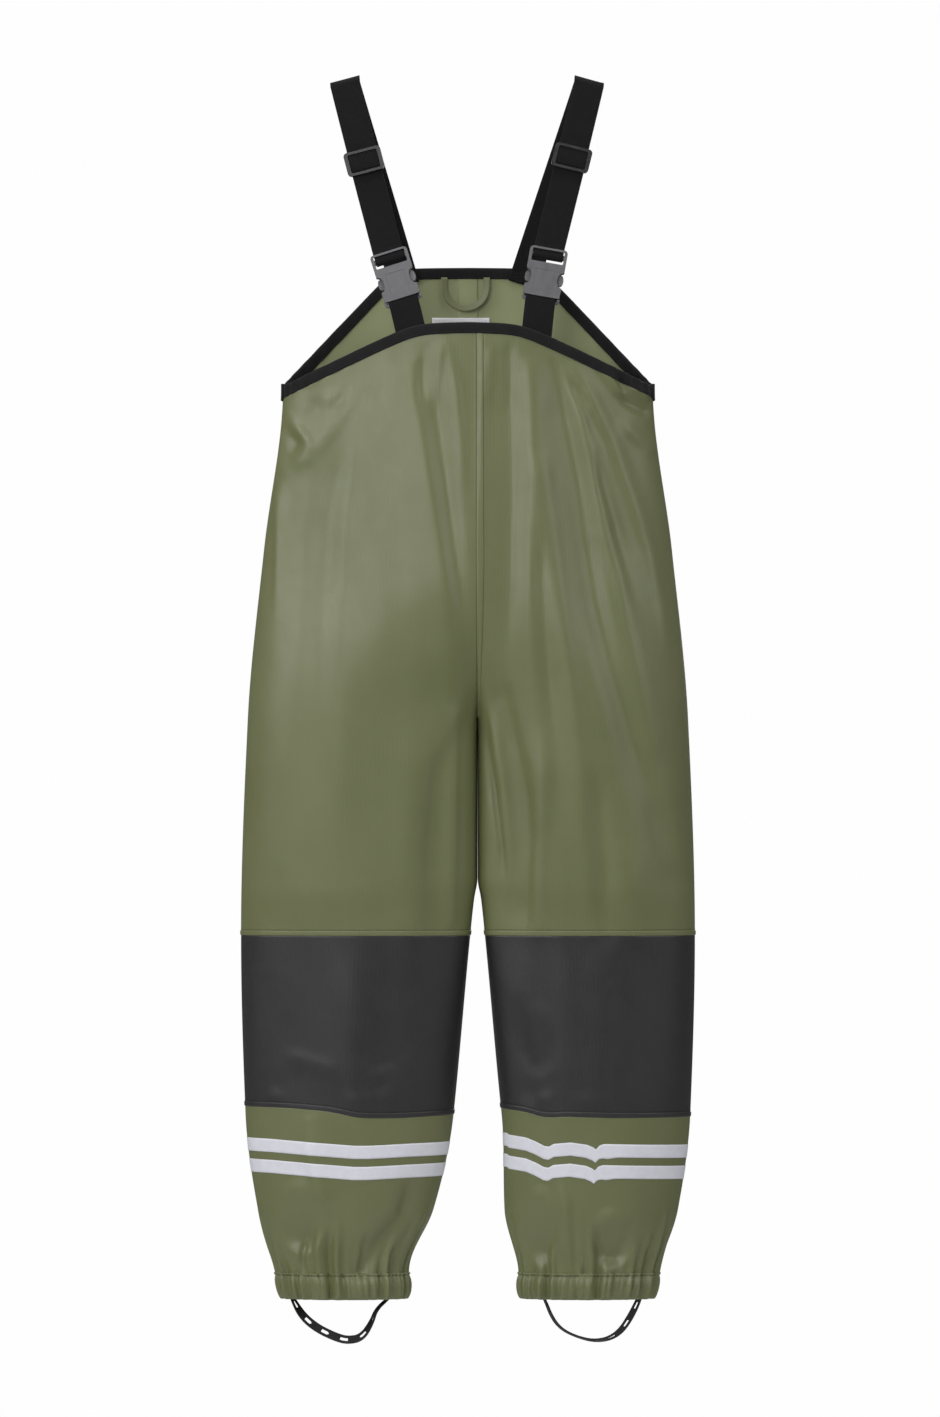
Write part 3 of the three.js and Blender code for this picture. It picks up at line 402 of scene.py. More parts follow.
# The side seam lies in a shallow groove.
GROOVE_DEEP = 0.0006
GROOVE_WIDE = 0.012
# The gathers over the cuffs: how high they reach and lean, and each wave's count round half a
# leg, size in millimetres and shift.
GATHER_TOP = 0.052
GATHER_LEAN = 14
GATHERS = [(17, 1.2, 0.4), (23, 1.2, 2.2), (31, 0.9, 1.1), (41, 0.5, 4.0)]


def gathers(face, part, z, side):
    """Short upright pleats over the cuffs, drawn in by the elastic."""
    turn = np.where(face == FRONT, part, 2 - part) * math.pi
    reach = GATHER_TOP * (1 + 0.35 * np.sin(5 * turn + side))
    pull = smooth((CUFF_Z + reach - z) / GATHER_TOP)
    lean = GATHER_LEAN * (z - CUFF_Z)
    total = sum(size * np.sin(count * turn + shift + 0.9 * side + lean * (count % 3 - 1))
                for count, size, shift in GATHERS)
    return pull ** 1.6 * total / 1000


def surface(face, side, part, z, out=0.0):
    """Points of the finished cloth, and its outward direction, `out` metres off the surface."""
    part, z = np.broadcast_arrays(np.asarray(part, float), np.asarray(z, float))
    angle, inner, reach, drop = across_at(face, side, part, z)
    depth = depth_at(z)
    cosine = np.maximum(np.cos(angle), 0)
    x = inner + side * reach * (drop + np.sin(angle))
    corner = np.where(angle < 0, inner_corner(z), SIDE_CORNER)
    y = face * depth * cosine ** corner
    nx = side * depth * corner * np.sin(angle)
    ny = face * reach * cosine ** (2 - corner)
    size = np.maximum(np.hypot(nx, ny), 1e-9)
    nx, ny = nx / size, ny / size
    folds, hollows = (FRONT_FOLDS, FRONT_HOLLOWS) if face == FRONT else (BACK_FOLDS, BACK_HOLLOWS)
    lift = FOLD_GAIN * fold_height(folds, hollows, x, z) + sway(x, z, SWAY_PHASE[face])
    if face == FRONT:
        for tab_x, _ in TAB_FOOT.values():
            beside = np.exp(-((x - tab_x) / TAB_REACH) ** 4)
            lift *= 1 - TAB_PRESS * beside * smooth((z - TAB_END) / TAB_FADE)
    lift *= 1 - smooth((part - 1 + SIDE_CALM) / SIDE_CALM)
    lift *= 1 - drop * (1 - smooth(part / INSEAM_CALM))
    lift += gathers(face, part, z, side) + out
    lift -= GROOVE_DEEP * np.exp(-((1 - part) / GROOVE_WIDE) ** 2)
    return np.stack([x + nx * lift, y + ny * lift, z], axis=-1) + np.array(HUNG)


# The top edges of the bib and the back neck: height in the middle, half width of the level
# part, slope beyond it, and how softly one turns into the other.
TOP_EDGES = {FRONT: (-0.046, 0.044, 0.48, 0.016), BACK: (0.0010, 0.0615, 1.07, 0.008)}


def edge_z(face, x, below=0.0):
    """Height of the top edge at x, less a distance measured square to the edge."""
    level, flat, slope, soft = TOP_EDGES[face]
    past = np.abs(x) - flat
    root = np.hypot(past, soft)
    steep = slope * (past / root + 1) / 2
    return level - slope * (past + root) / 2 - below * np.hypot(1, steep)


def top_edge(face, side, part, below):
    """Height of the shell's top edge along `part`."""
    z = edge_z(face, 0.0, below) + 0 * part
    for _ in range(8):
        z = edge_z(face, x_at(face, side, part, z), below)
    return z


def put(tree, kind, inputs=(), **settings):
    """A new shader node with its settings, and its inputs linked or given values."""
    made = tree.nodes.new(kind)
    for key, value in settings.items():
        setattr(made, key, value)
    for key, value in dict(inputs).items():
        if isinstance(value, bpy.types.NodeSocket):
            tree.links.new(value, made.inputs[key])
        else:
            made.inputs[key].default_value = value
    return made


def finish(name, roughness, specular=0.5):
    """An empty finish: its material, node tree and shader."""
    material = bpy.data.materials.new(name)
    material.use_nodes = True
    shader = material.node_tree.nodes["Principled BSDF"]
    shader.inputs["Roughness"].default_value = roughness
    shader.inputs["Specular IOR Level"].default_value = specular
    return material, material.node_tree, shader


def tint(tree, shader, amount, low, high):
    """Colours a finish between two shades, by an amount from 0 to 1."""
    ramp = put(tree, "ShaderNodeValToRGB", {"Fac": amount})
    ramp.color_ramp.elements[0].color = (*low, 1)
    ramp.color_ramp.elements[1].color = (*high, 1)
    ramp.color_ramp.elements[0].position = 0.25
    ramp.color_ramp.elements[1].position = 0.75
    tree.links.new(ramp.outputs["Color"], shader.inputs["Base Color"])


def speckle(tree, place, scale, detail=2.0, roughness=0.5):
    """Uneven noise over the surface, `scale` spots to the metre."""
    return put(tree, "ShaderNodeTexNoise", {
        "Vector": place.outputs["Object"], "Scale": scale, "Detail": detail,
        "Roughness": roughness}).outputs["Fac"]


def raised(tree, shader, height, strength, distance, **inputs):
    """Raises a finish by a height pattern, up to `distance` in metres."""
    bump = put(tree, "ShaderNodeBump", {
        "Height": height, "Strength": strength, "Distance": distance, **inputs})
    tree.links.new(bump.outputs["Normal"], shader.inputs["Normal"])
    return bump.outputs["Normal"]


def worn(tree, shader, amount, less, more):
    """Lets the gloss wander between two roughnesses."""
    gloss = put(tree, "ShaderNodeMapRange", {
        "Value": amount, "From Min": 0.3, "From Max": 0.7, "To Min": less, "To Max": more})
    tree.links.new(gloss.outputs["Result"], shader.inputs["Roughness"])


def srgb(red, green, blue):
    """Linear colour from 0-255 screen values."""
    return tuple(((v / 255 + 0.055) / 1.055) ** 2.4 for v in (red, green, blue))


def coated_cloth(name, low, high, roughness, coat):
    """Coated knit: a cloudy satin skin with a fine pebble, over the faint ribs of the knit."""
    material, tree, shader = finish(name, roughness)
    shader.inputs["Coat Weight"].default_value = coat
    shader.inputs["Coat Roughness"].default_value = 0.30
    place = put(tree, "ShaderNodeTexCoord")
    tint(tree, shader, speckle(tree, place, 11.0, 4.0, 0.6), low, high)
    rub = speckle(tree, place, 70.0, 5.0, 0.65)
    worn(tree, shader, rub, roughness - 0.05, roughness + 0.07)
    pebble = put(tree, "ShaderNodeTexVoronoi", {
        "Vector": place.outputs["UV"], "Scale": 1500.0}, feature="SMOOTH_F1")
    ribs = put(tree, "ShaderNodeTexWave", {
        "Vector": place.outputs["UV"], "Scale": 130.0, "Distortion": 1.5, "Detail": 1.0},
        bands_direction="X")
    skin = put(tree, "ShaderNodeMath", {0: pebble.outputs["Distance"], 1: ribs.outputs["Fac"]},
               operation="ADD")
    fine = raised(tree, shader, skin.outputs["Value"], 0.16, 0.0002)
    raised(tree, shader, rub, 0.25, 0.0006, Normal=fine)
    return material


def knit_backing(name, low, high):
    """The bare knitted side of the cloth."""
    material, tree, shader = finish(name, 0.75, 0.3)
    shader.inputs["Sheen Weight"].default_value = 0.15
    place = put(tree, "ShaderNodeTexCoord")
    tint(tree, shader, speckle(tree, place, 14.0, 4.0), low, high)
    loops = put(tree, "ShaderNodeTexBrick", {
        "Vector": place.outputs["UV"], "Scale": 620.0, "Mortar Size": 0.08})
    raised(tree, shader, loops.outputs["Fac"], 0.3, 0.0002)
    return material


def place_grid(columns, rows, place, flip=False):
    """A grid whose points `place` puts: it takes and gives arrays, and the cloth's flat place."""
    build = bmesh.new()
    bmesh.ops.create_grid(build, x_segments=columns, y_segments=rows, size=0.5)
    if flip:
        bmesh.ops.reverse_faces(build, faces=build.faces)
    build.verts.ensure_lookup_table()
    spots = np.array([v.co[:2] for v in build.verts]) + 0.5
    points, flat = place(spots[:, 0], spots[:, 1])
    for vert, point in zip(build.verts, points):
        vert.co = point
    weave = build.loops.layers.uv.new("weave")
    for face in build.faces:
        for loop in face.loops:
            loop[weave].uv = flat[loop.vert.index]
    return build


def make(name, build, body, slot, *materials, thick=0.0, offset=-1.0):
    """Turns a finished bmesh into a piece that rides on a body."""
    mesh = bpy.data.meshes.new(name)
    for face in build.faces:
        face.smooth = True
    build.to_mesh(mesh)
    build.free()
    piece = bpy.data.objects.new(name, mesh)
    bpy.context.scene.collection.objects.link(piece)
    for material in materials:
        mesh.materials.append(material)
    if thick:
        wall = piece.modifiers.new("wall", "SOLIDIFY")
        wall.thickness = thick
        wall.offset = offset
        wall.material_offset = len(materials) - 1
    if body:
        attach(piece, body)
    return piece


GREEN_OUT = coated_cloth("green coated cloth", srgb(105, 110, 71), srgb(114, 118, 80), 0.47, 0.22)
# The green backing's own tone is paler than the coat, and it is painted paler still: painted
# light, for the light that hardly reaches the inside of the back.
GREEN_IN_PAINTED_LIGHT = knit_backing("green knit backing with painted light", srgb(146, 152, 112), srgb(158, 164, 126))
SIDES = [("left", -1), ("right", 1)]
# How far the cloth runs up into its binding, and half a leg's girth as it lies flat.
UNDER_TAPE = 0.004
HALF_GIRTH = 0.2


def panel(face, side, columns, rows, top, bottom):
    """A panel of cloth between two heights, which may change along its width."""
    def place(across, up):
        high, low = top(across), bottom(across)
        z = low + (high - low) * up
        return surface(face, side, across, z), np.stack([across * HALF_GIRTH, z], axis=-1)
    return place_grid(columns, rows, place, flip=side * face > 0)


def level(z):
    """An edge that runs level at a height."""
    return lambda part: z + 0 * part


def under_tape(face, side):
    """The raw top edge of a panel, inside its binding."""
    return lambda part: top_edge(face, side, part, UNDER_TAPE)


for name, side in SIDES:
    build = panel(BACK, side, 110, 330, under_tape(BACK, side), level(CUFF_Z))
    back = make(f"back_cloth_{name}", build, "root", "green_fabric", GREEN_OUT, GREEN_IN_PAINTED_LIGHT,
                thick=CLOTH)
    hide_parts(f"back_panel_{name}")

# ---------------------------------------------------------------- front panels
# Left and right front, the same coated knit, cut from the bib to the knee. Their bottom edge laps
# over the knee panel, and the right one laps over the left down the middle.
for name, side in SIDES:
    build = panel(FRONT, side, 120, 230, under_tape(FRONT, side), level(KNEE_Z))
    front = make(f"front_cloth_{name}", build, "root", "green_fabric", GREEN_OUT, GREEN_IN_PAINTED_LIGHT,
                 thick=CLOTH)
    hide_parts(f"front_panel_{name}")

# ---------------------------------------------------------------- knee panels
# A panel of dark grey coated knit over each knee, let in between thigh and shin. Its lower edge
# laps over the shin panel, and hangs a little uneven.
BLACK_OUT = coated_cloth("dark coated cloth", srgb(37, 37, 38), srgb(43, 42, 44), 0.47, 0.2)
BLACK_IN = knit_backing("dark knit backing", srgb(44, 44, 45), srgb(52, 52, 53))
# Its lower edge, as x and z, and the distance over which its corners are eased.
KNEE_EDGE = {-1: [(-0.190, -0.6955), (-0.145, -0.6965), (-0.115, -0.699), (-0.090, -0.7045),
                  (-0.060, -0.7048), (-0.005, -0.7022)],
             1: [(0.020, -0.6965), (0.048, -0.6995), (0.064, -0.7048), (0.077, -0.7032),
                 (0.120, -0.7045), (0.190, -0.7045)]}
KNEE_EASE = 0.006
# How far the next panel starts from a seam, so the two don't share a plane.
SEAM_STEP = 0.0005


def knee_edge(side, part):
    """Height of the knee panel's lower edge."""
    line = KNEE_EDGE[side]
    x = x_at(FRONT, side, part, SHIN_Z)
    near = [np.interp(x + d, [p[0] for p in line], [p[1] for p in line])
            for d in (-KNEE_EASE, 0, KNEE_EASE)]
    return sum(near) / 3


for name, side in SIDES:
    build = panel(FRONT, side, 100, 70, level(KNEE_Z + SEAM_STEP),
                  lambda part, side=side: knee_edge(side, part))
    knee = make(f"knee_cloth_{name}", build, "root", "black_fabric", BLACK_OUT, BLACK_IN,
                thick=CLOTH)
    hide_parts(f"knee_panel_{name}")

# ---------------------------------------------------------------- shin panels
# A short panel of the green coated knit below each knee, drawn in at its bottom by the cuff.
for name, side in SIDES:
    build = panel(FRONT, side, 150, 90,
                  lambda part, side=side: knee_edge(side, part) + SEAM_STEP, level(CUFF_Z))
    shin = make(f"shin_cloth_{name}", build, "root", "green_fabric", GREEN_OUT, GREEN_IN_PAINTED_LIGHT,
                thick=CLOTH)
    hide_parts(f"shin_panel_{name}")

# ---------------------------------------------------------------- laps and seams
# Where two panels meet, the upper one's edge is turned under, laid over the lower one and welded
# and stitched through. The middle seam laps the same way, right over left, down to the crotch.
LAP_TALL = 0.0046
LAP_PROUD = 0.0009
LAP_SUNK = 0.0002
LAP_BELOW = 0.0004
LAP_THICK = 0.0003
THREAD_LONG = 0.0021
THREAD_PITCH = 0.0029
THREAD_HALF = (0.00027, 0.00024)


def lap_profile(across):
    """Rises from under the cloth, flat over the top, and down again."""
    return LAP_PROUD * (1 - np.abs(2 * across - 1) ** 6) - LAP_SUNK


def level_lap(side, low):
    """A lap that runs level round a leg's front, its lower edge at low(part)."""
    def place(across, up):
        z = low(across) - LAP_BELOW + LAP_TALL * up
        return (surface(FRONT, side, across, z, lap_profile(up)),
                np.stack([across * HALF_GIRTH, z], -1))
    return place_grid(140, 12, place, flip=side < 0)


def run_along(points):
    """Distance run along a line, at each of its points."""
    return np.concatenate([[0], np.cumsum(np.linalg.norm(np.diff(points, axis=0), axis=1))])


def thread(tone):
    """Twisted sewing thread."""
    material, tree, shader = finish("sewing thread", 0.7, 0.3)
    place = put(tree, "ShaderNodeTexCoord")
    tint(tree, shader, speckle(tree, place, 900.0), tone, [v * 1.5 for v in tone])
    return material


def sew(build, points, out, pitch=THREAD_PITCH):
    """Stitches along a line of points, each a small rounded bar lying on the cloth."""
    points = np.asarray(points, float)
    run = run_along(points)
    count = max(int(run[-1] / pitch), 1)
    for at in (np.arange(count) + 0.5) * run[-1] / count:
        ends = [Vector([np.interp(at + d, run, points[:, k]) for k in range(3)])
                for d in (-THREAD_LONG / 2, THREAD_LONG / 2)]
        facing = Vector([np.interp(at, run, out[:, k]) for k in range(3)]).normalized()
        ahead = (ends[1] - ends[0]).normalized()
        aside = facing.cross(ahead).normalized()
        turn = Matrix((ahead, aside, facing)).transposed().to_4x4()
        shape = Matrix.Diagonal((THREAD_LONG / 2, *THREAD_HALF, 1))
        bmesh.ops.create_icosphere(
            build, subdivisions=1, radius=1,
            matrix=Matrix.Translation((ends[0] + ends[1]) / 2) @ turn @ shape)


def outward(face, side, part, z):
    """The cloth's outward direction, found from a small step."""
    step = surface(face, side, part, z, 0.001) - surface(face, side, part, z)
    return step / np.linalg.norm(step, axis=-1, keepdims=True)


# The green thread is darker than the cloth partly as painted shade: it draws the shadow line
# along the top edge of each green lap. The cuff's stitches use it too.
GREEN_THREAD_AND_PAINTED_SHADE = thread(srgb(78, 82, 56))
DARK_THREAD = thread(srgb(34, 33, 34))
PARTS = np.linspace(0.005, 0.995, 120)
for name, side in SIDES:
    rows = [("thigh", level(KNEE_Z), GREEN_OUT, GREEN_THREAD_AND_PAINTED_SHADE, "green_fabric"),
            ("knee", lambda part, side=side: knee_edge(side, part), BLACK_OUT, DARK_THREAD,
             "black_fabric")]
    for row, low, cloth, yarn, slot in rows:
        make(f"{row}_lap_{name}", level_lap(side, low), "root", slot, cloth, thick=LAP_THICK)
        build = bmesh.new()
        z = low(PARTS) + LAP_TALL + 0.0001
        sew(build, surface(FRONT, side, PARTS, z, 0.0002), outward(FRONT, side, PARTS, z))
        make(f"{row}_lap_thread_{name}", build, "root", slot, yarn)

# The middle laps start just past the seam, end at this share of the panel, and run from under
# the binding to the crotch. A welded tape covers the back one's seam inside.
MIDDLE_LAP = 0.0215
PAST_SEAM = 0.004
LAP_END = -0.374
LAP_TOP = {FRONT: -0.0545, BACK: -0.0055}
TAPE_TOP = -0.0060
TAPE_END = -0.350
TAPE_SPREAD = 0.07
# The right leg's inseam shows as a narrow lap beside its inner edge.
INSEAM_AT = 0.125
INSEAM_WIDE = 0.010


def middle_lap(face):
    """The lap down the middle of the front or the back."""
    def place(across, up):
        z = LAP_TOP[face] + (LAP_END - LAP_TOP[face]) * (1 - up)
        part = -PAST_SEAM + (MIDDLE_LAP + PAST_SEAM) * across
        return (surface(face, 1, part, z, lap_profile(across) + 0.0001),
                np.stack([across * 0.006, z], -1))
    return place_grid(10, 170, place, flip=face == BACK)


def inseam_lap(across, up):
    z = SHIN_Z + 0.001 + (CUFF_Z + 0.012 - SHIN_Z) * (1 - up)
    part = INSEAM_AT + INSEAM_WIDE * across
    return (surface(FRONT, 1, part, z, lap_profile(across) - 0.0004),
            np.stack([across * 0.002, z], -1))


def back_seam_tape(across, up):
    z = TAPE_TOP + (TAPE_END - TAPE_TOP) * (1 - up)
    points = np.zeros((len(z), 3))
    for _, side in SIDES:
        mine = (across < 0.5) == (side < 0)
        part = np.abs(across[mine] - 0.5) * TAPE_SPREAD
        points[mine] = surface(BACK, side, part, z[mine], -CLOTH - 0.0003)
    return points, np.stack([across * 0.012, z], -1)


make("middle_lap", middle_lap(FRONT), "root", "green_fabric", GREEN_OUT, thick=LAP_THICK)
make("inseam_lap", place_grid(8, 70, inseam_lap), "root", "green_fabric", GREEN_OUT,
     thick=LAP_THICK)
make("back_lap", middle_lap(BACK), "root", "green_fabric", GREEN_OUT, thick=LAP_THICK)
make("back_seam_tape", place_grid(10, 160, back_seam_tape), "root", "green_fabric", GREEN_IN_PAINTED_LIGHT,
     thick=0.0002)

# ---------------------------------------------------------------- reflective prints
# Two bands of silver-grey glass-bead print round each shin, heat-pressed on the coated side. They
# bend with the cloth they are on, and the right pair is puckered near the inseam.
def glass_bead(name):
    material, tree, shader = finish(name, 0.42)
    place = put(tree, "ShaderNodeTexCoord")
    beads = put(tree, "ShaderNodeTexVoronoi", {"Vector": place.outputs["UV"], "Scale": 2600.0})
    scuff = speckle(tree, place, 120.0, 6.0, 0.7)
    tint(tree, shader, scuff, srgb(222, 223, 232), srgb(234, 235, 243))
    raised(tree, shader, beads.outputs["Distance"], 0.2, 0.0001)
    return material


STRIPE_TALL = 0.0110
STRIPE_STEP = 0.0175
STRIPE_PROUD = 0.00035
GIRTH = 0.4
WELD = 2e-5
# The top edge of the upper print over the front, as x and z, and the height it is read at.
STRIPE_READ = SHIN_Z - 0.03
STRIPE_LINE = {
    -1: [(-0.190, -0.7215), (-0.162, -0.7225), (-0.128, -0.7251), (-0.094, -0.7277),
         (-0.082, -0.7277), (-0.048, -0.7261), (-0.010, -0.7250)],
    1: [(0.020, -0.7178), (0.0330, -0.7178), (0.0345, -0.7192), (0.048, -0.7212),
        (0.056, -0.7244), (0.063, -0.7280), (0.067, -0.7286), (0.071, -0.7262),
        (0.085, -0.7250), (0.098, -0.7268), (0.1035, -0.7290), (0.1058, -0.7308),
        (0.1085, -0.7276), (0.112, -0.7262), (0.190, -0.7280)],
}
SILVER = glass_bead("silver print")


def leg_ring(side, turn, z, out):
    """Points round one leg: turn 0 at the inseam, 0.5 at the side seam, 1 at the inseam again."""
    ahead = turn <= 0.5
    part = np.where(ahead, 2 * turn, 2 - 2 * turn)
    fore = surface(FRONT, side, part, z, out)
    rear = surface(BACK, side, part, z, out)
    return np.where(ahead[:, None], fore, rear)


def stripe_top(side, turn, step):
    """Height of a print's top edge round the leg."""
    ahead = turn <= 0.5
    part = np.where(ahead, 2 * turn, 2 - 2 * turn)
    line = STRIPE_LINE[side]
    xs, zs = [p[0] for p in line], [p[1] for p in line]
    before, at_seam, at_inseam = (np.interp(x_at(FRONT, side, at, STRIPE_READ), xs, zs)
                                  for at in (part, np.ones(1), np.zeros(1)))
    behind = (at_inseam + (at_seam - at_inseam) * smooth(part)
              + 0.0012 * np.sin(9 * part) * (1 - part))
    return np.where(ahead, before, behind) - step * STRIPE_STEP


for name, side in SIDES:
    for step, row in enumerate(["upper", "lower"]):
        def place(across, up, side=side, step=step):
            pucker = 0.0014 * np.exp(-((across - 0.27) / 0.012) ** 2) * (side > 0)
            z = stripe_top(side, across, step) - (STRIPE_TALL + pucker) * (1 - up)
            return leg_ring(side, across, z, STRIPE_PROUD), np.stack([across * GIRTH, z], -1)
        build = place_grid(360, 8, place, flip=side < 0)
        bmesh.ops.remove_doubles(build, verts=build.verts, dist=WELD)
        stripe = make(f"silver_print_{row}_{name}", build, "root", "reflective_print", SILVER,
                      thick=0.0003)
        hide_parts(f"reflective_stripe_{row}_{name}")

# ---------------------------------------------------------------- cuffs
# The hem of each leg is turned up into a channel and stitched along its top, with a flat elastic
# inside that draws it into uneven upright pleats.
CUFF_TALL = CUFF_Z - HEM_Z
CUFF_CLOTH = 0.0005
# How deep the pleats are, and how they lean. Within this share of the way round, they calm down
# beside the side seam and the inseam, by up to this much.
PLEAT = 0.0023
PLEAT_LEAN = 18
CALM_WIDE = 0.035
CALM = 0.75
cuff_profile = np.array([
    # share of the cuff's height from its top, metres off the shell
    (-0.06, 0.0002), (-0.03, 0.0009), (0.0, 0.0011), (0.04, 0.0004), (0.08, 0.0003),
    (0.14, 0.0009), (0.24, 0.0015), (0.38, 0.0019), (0.54, 0.0019), (0.70, 0.0015),
    (0.84, 0.0007), (0.93, -0.0002), (0.985, -0.0011), (1.0, -0.0018), (0.985, -0.0025),
    (0.93, -0.0030), (0.80, -0.0033), (0.60, -0.0034), (0.35, -0.0033), (0.12, -0.0032)])


def pleats(side, turn, z):
    """How far the pleats draw the cuff in, round the leg."""
    a = turn * 2 * math.pi
    lean = PLEAT_LEAN * (z - CUFF_Z)
    first = np.abs(np.sin(15 * a + 1.7 * np.sin(3 * a + side) + 0.9 * np.sin(7 * a) + lean))
    second = np.abs(np.sin(26 * a + 1.3 * np.sin(4 * a - side) + 2.1 - lean))
    size = 0.65 + 0.35 * np.sin(5 * a + 1.2 * side)
    from_seam = np.minimum(np.abs(turn - 0.5), np.minimum(turn, 1 - turn))
    calm = 1 - CALM * np.exp(-(from_seam / CALM_WIDE) ** 2)
    return PLEAT * calm * (size * (first ** 0.75 - 0.7) + 0.45 * (second ** 0.7 - 0.7))


for name, side in SIDES:
    def place(across, up, side=side):
        spot = (1 - up) * (len(cuff_profile) - 1)
        share = np.interp(spot, np.arange(len(cuff_profile)), cuff_profile[:, 0])
        out = np.interp(spot, np.arange(len(cuff_profile)), cuff_profile[:, 1])
        z = CUFF_Z - CUFF_TALL * share
        own = leg_ring(side, across, z, out + pleats(side, across, z))
        return own, np.stack([across * GIRTH, spot * 0.0015], -1)
    build = place_grid(420, 57, place, flip=side < 0)
    bmesh.ops.remove_doubles(build, verts=build.verts, dist=WELD)
    cuff = make(f"gathered_cuff_{name}", build, "root", "green_fabric", GREEN_OUT, GREEN_IN_PAINTED_LIGHT,
                thick=CUFF_CLOTH)
    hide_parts(f"cuff_{name}")
    turns = np.linspace(0, 1, 300)
    build = bmesh.new()
    z = np.full(len(turns), CUFF_Z - CUFF_TALL * 0.06)
    line = leg_ring(side, turns, z, 0.0004 + pleats(side, turns, z))
    beside = leg_ring(side, turns, z, 0.0014 + pleats(side, turns, z)) - line
    sew(build, line, beside, pitch=0.0034)
    make(f"cuff_thread_{name}", build, "root", "green_fabric", GREEN_THREAD_AND_PAINTED_SHADE)

# ---------------------------------------------------------------- cuff elastics
# Flat ribbed elastic, 15 mm wide, cut shorter than the hem and sewn into a ring inside each
# cuff's channel.
def ribbed_elastic():
    material, tree, shader = finish("ribbed elastic", 0.8, 0.3)
    place = put(tree, "ShaderNodeTexCoord")
    ribs = put(tree, "ShaderNodeTexWave", {"Vector": place.outputs["UV"], "Scale": 190.0},
               bands_direction="Y")
    tint(tree, shader, ribs.outputs["Fac"], srgb(196, 196, 190), srgb(222, 222, 217))
    raised(tree, shader, ribs.outputs["Fac"], 0.5, 0.0004)
    return material


ELASTIC = ribbed_elastic()
for name, side in SIDES:
    def place(across, up, side=side):
        z = CUFF_Z - CUFF_TALL * (0.16 + 0.70 * (1 - up))
        out = -0.0011 + 0.9 * pleats(side, across, z)
        return leg_ring(side, across, z, out), np.stack([across * 0.25, z], -1)
    build = place_grid(300, 14, place, flip=side < 0)
    bmesh.ops.remove_doubles(build, verts=build.verts, dist=WELD)
    elastic = make(f"flat_elastic_{name}", build, "root", "elastic", ELASTIC, thick=0.0008)
    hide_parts(f"cuff_elastic_{name}")

# ---------------------------------------------------------------- foot straps
# A band of black rubber under each foot, 7.4 mm wide, with a slot every 17 mm. Each end is
# buttoned inside the cuff, so the band can be set shorter, and it twists as it hangs.
def moulded_rubber():
    material, tree, shader = finish("black rubber", 0.55, 0.4)
    place = put(tree, "ShaderNodeTexCoord")
    grain = speckle(tree, place, 420.0, 5.0)
    tint(tree, shader, grain, srgb(20, 20, 20), srgb(36, 36, 36))
    raised(tree, shader, grain, 0.25, 0.0002)
    return material


RUBBER = moulded_rubber()
BAND_WIDE = 0.0074
BAND_THICK = 0.0014
SLOT_LONG = 0.0064
SLOT_WIDE = 0.0030
SLOT_PITCH = 0.017
BAND_STEP = 0.0008
# Points of each band from its outer button to its inner one: x, z and twist in degrees, where 0
# shows its face to the front and 90 its edge.
FOOT_BANDS = {
    -1: [(-0.1492, -0.8350, 90), (-0.1485, -0.8480, 87), (-0.1457, -0.8560, 66),
         (-0.1372, -0.8707, 26), (-0.1253, -0.8806, 14), (-0.1104, -0.8878, 20),
         (-0.1000, -0.8908, 26), (-0.0880, -0.8885, 38), (-0.0800, -0.8760, 62),
         (-0.0762, -0.8650, 74), (-0.0664, -0.8560, 78), (-0.0585, -0.8480, 84),
         (-0.0560, -0.8350, 90)],
    1: [(0.1465, -0.8350, 90), (0.1450, -0.8470, 76), (0.1418, -0.8570, 52),
        (0.1350, -0.8710, 42), (0.1270, -0.8830, 46), (0.1170, -0.8895, 62),
        (0.1040, -0.8912, 74), (0.0900, -0.8876, 80), (0.0775, -0.8815, 78),
        (0.0695, -0.8715, 74), (0.0640, -0.8570, 78), (0.0585, -0.8480, 84),
        (0.0545, -0.8350, 90)],
}


def through(rows, step, rounds):
    """Rows of x, y, z and more, with their corners cut and set about `step` apart."""
    rows = np.asarray(rows, float)
    for _ in range(rounds):
        cut = np.empty((2 * len(rows), rows.shape[1]))
        cut[0], cut[-1] = rows[0], rows[-1]
        cut[1:-1:2] = 0.75 * rows[:-1] + 0.25 * rows[1:]
        cut[2:-1:2] = 0.25 * rows[:-1] + 0.75 * rows[1:]
        rows = cut
    run = run_along(rows[:, :3])
    at = np.linspace(0, run[-1], max(int(run[-1] / step), 4) + 1)
    return np.stack([np.interp(at, run, rows[:, k]) for k in range(rows.shape[1])], -1), at


def unit_rows(rows):
    return rows / np.linalg.norm(rows, axis=1, keepdims=True)


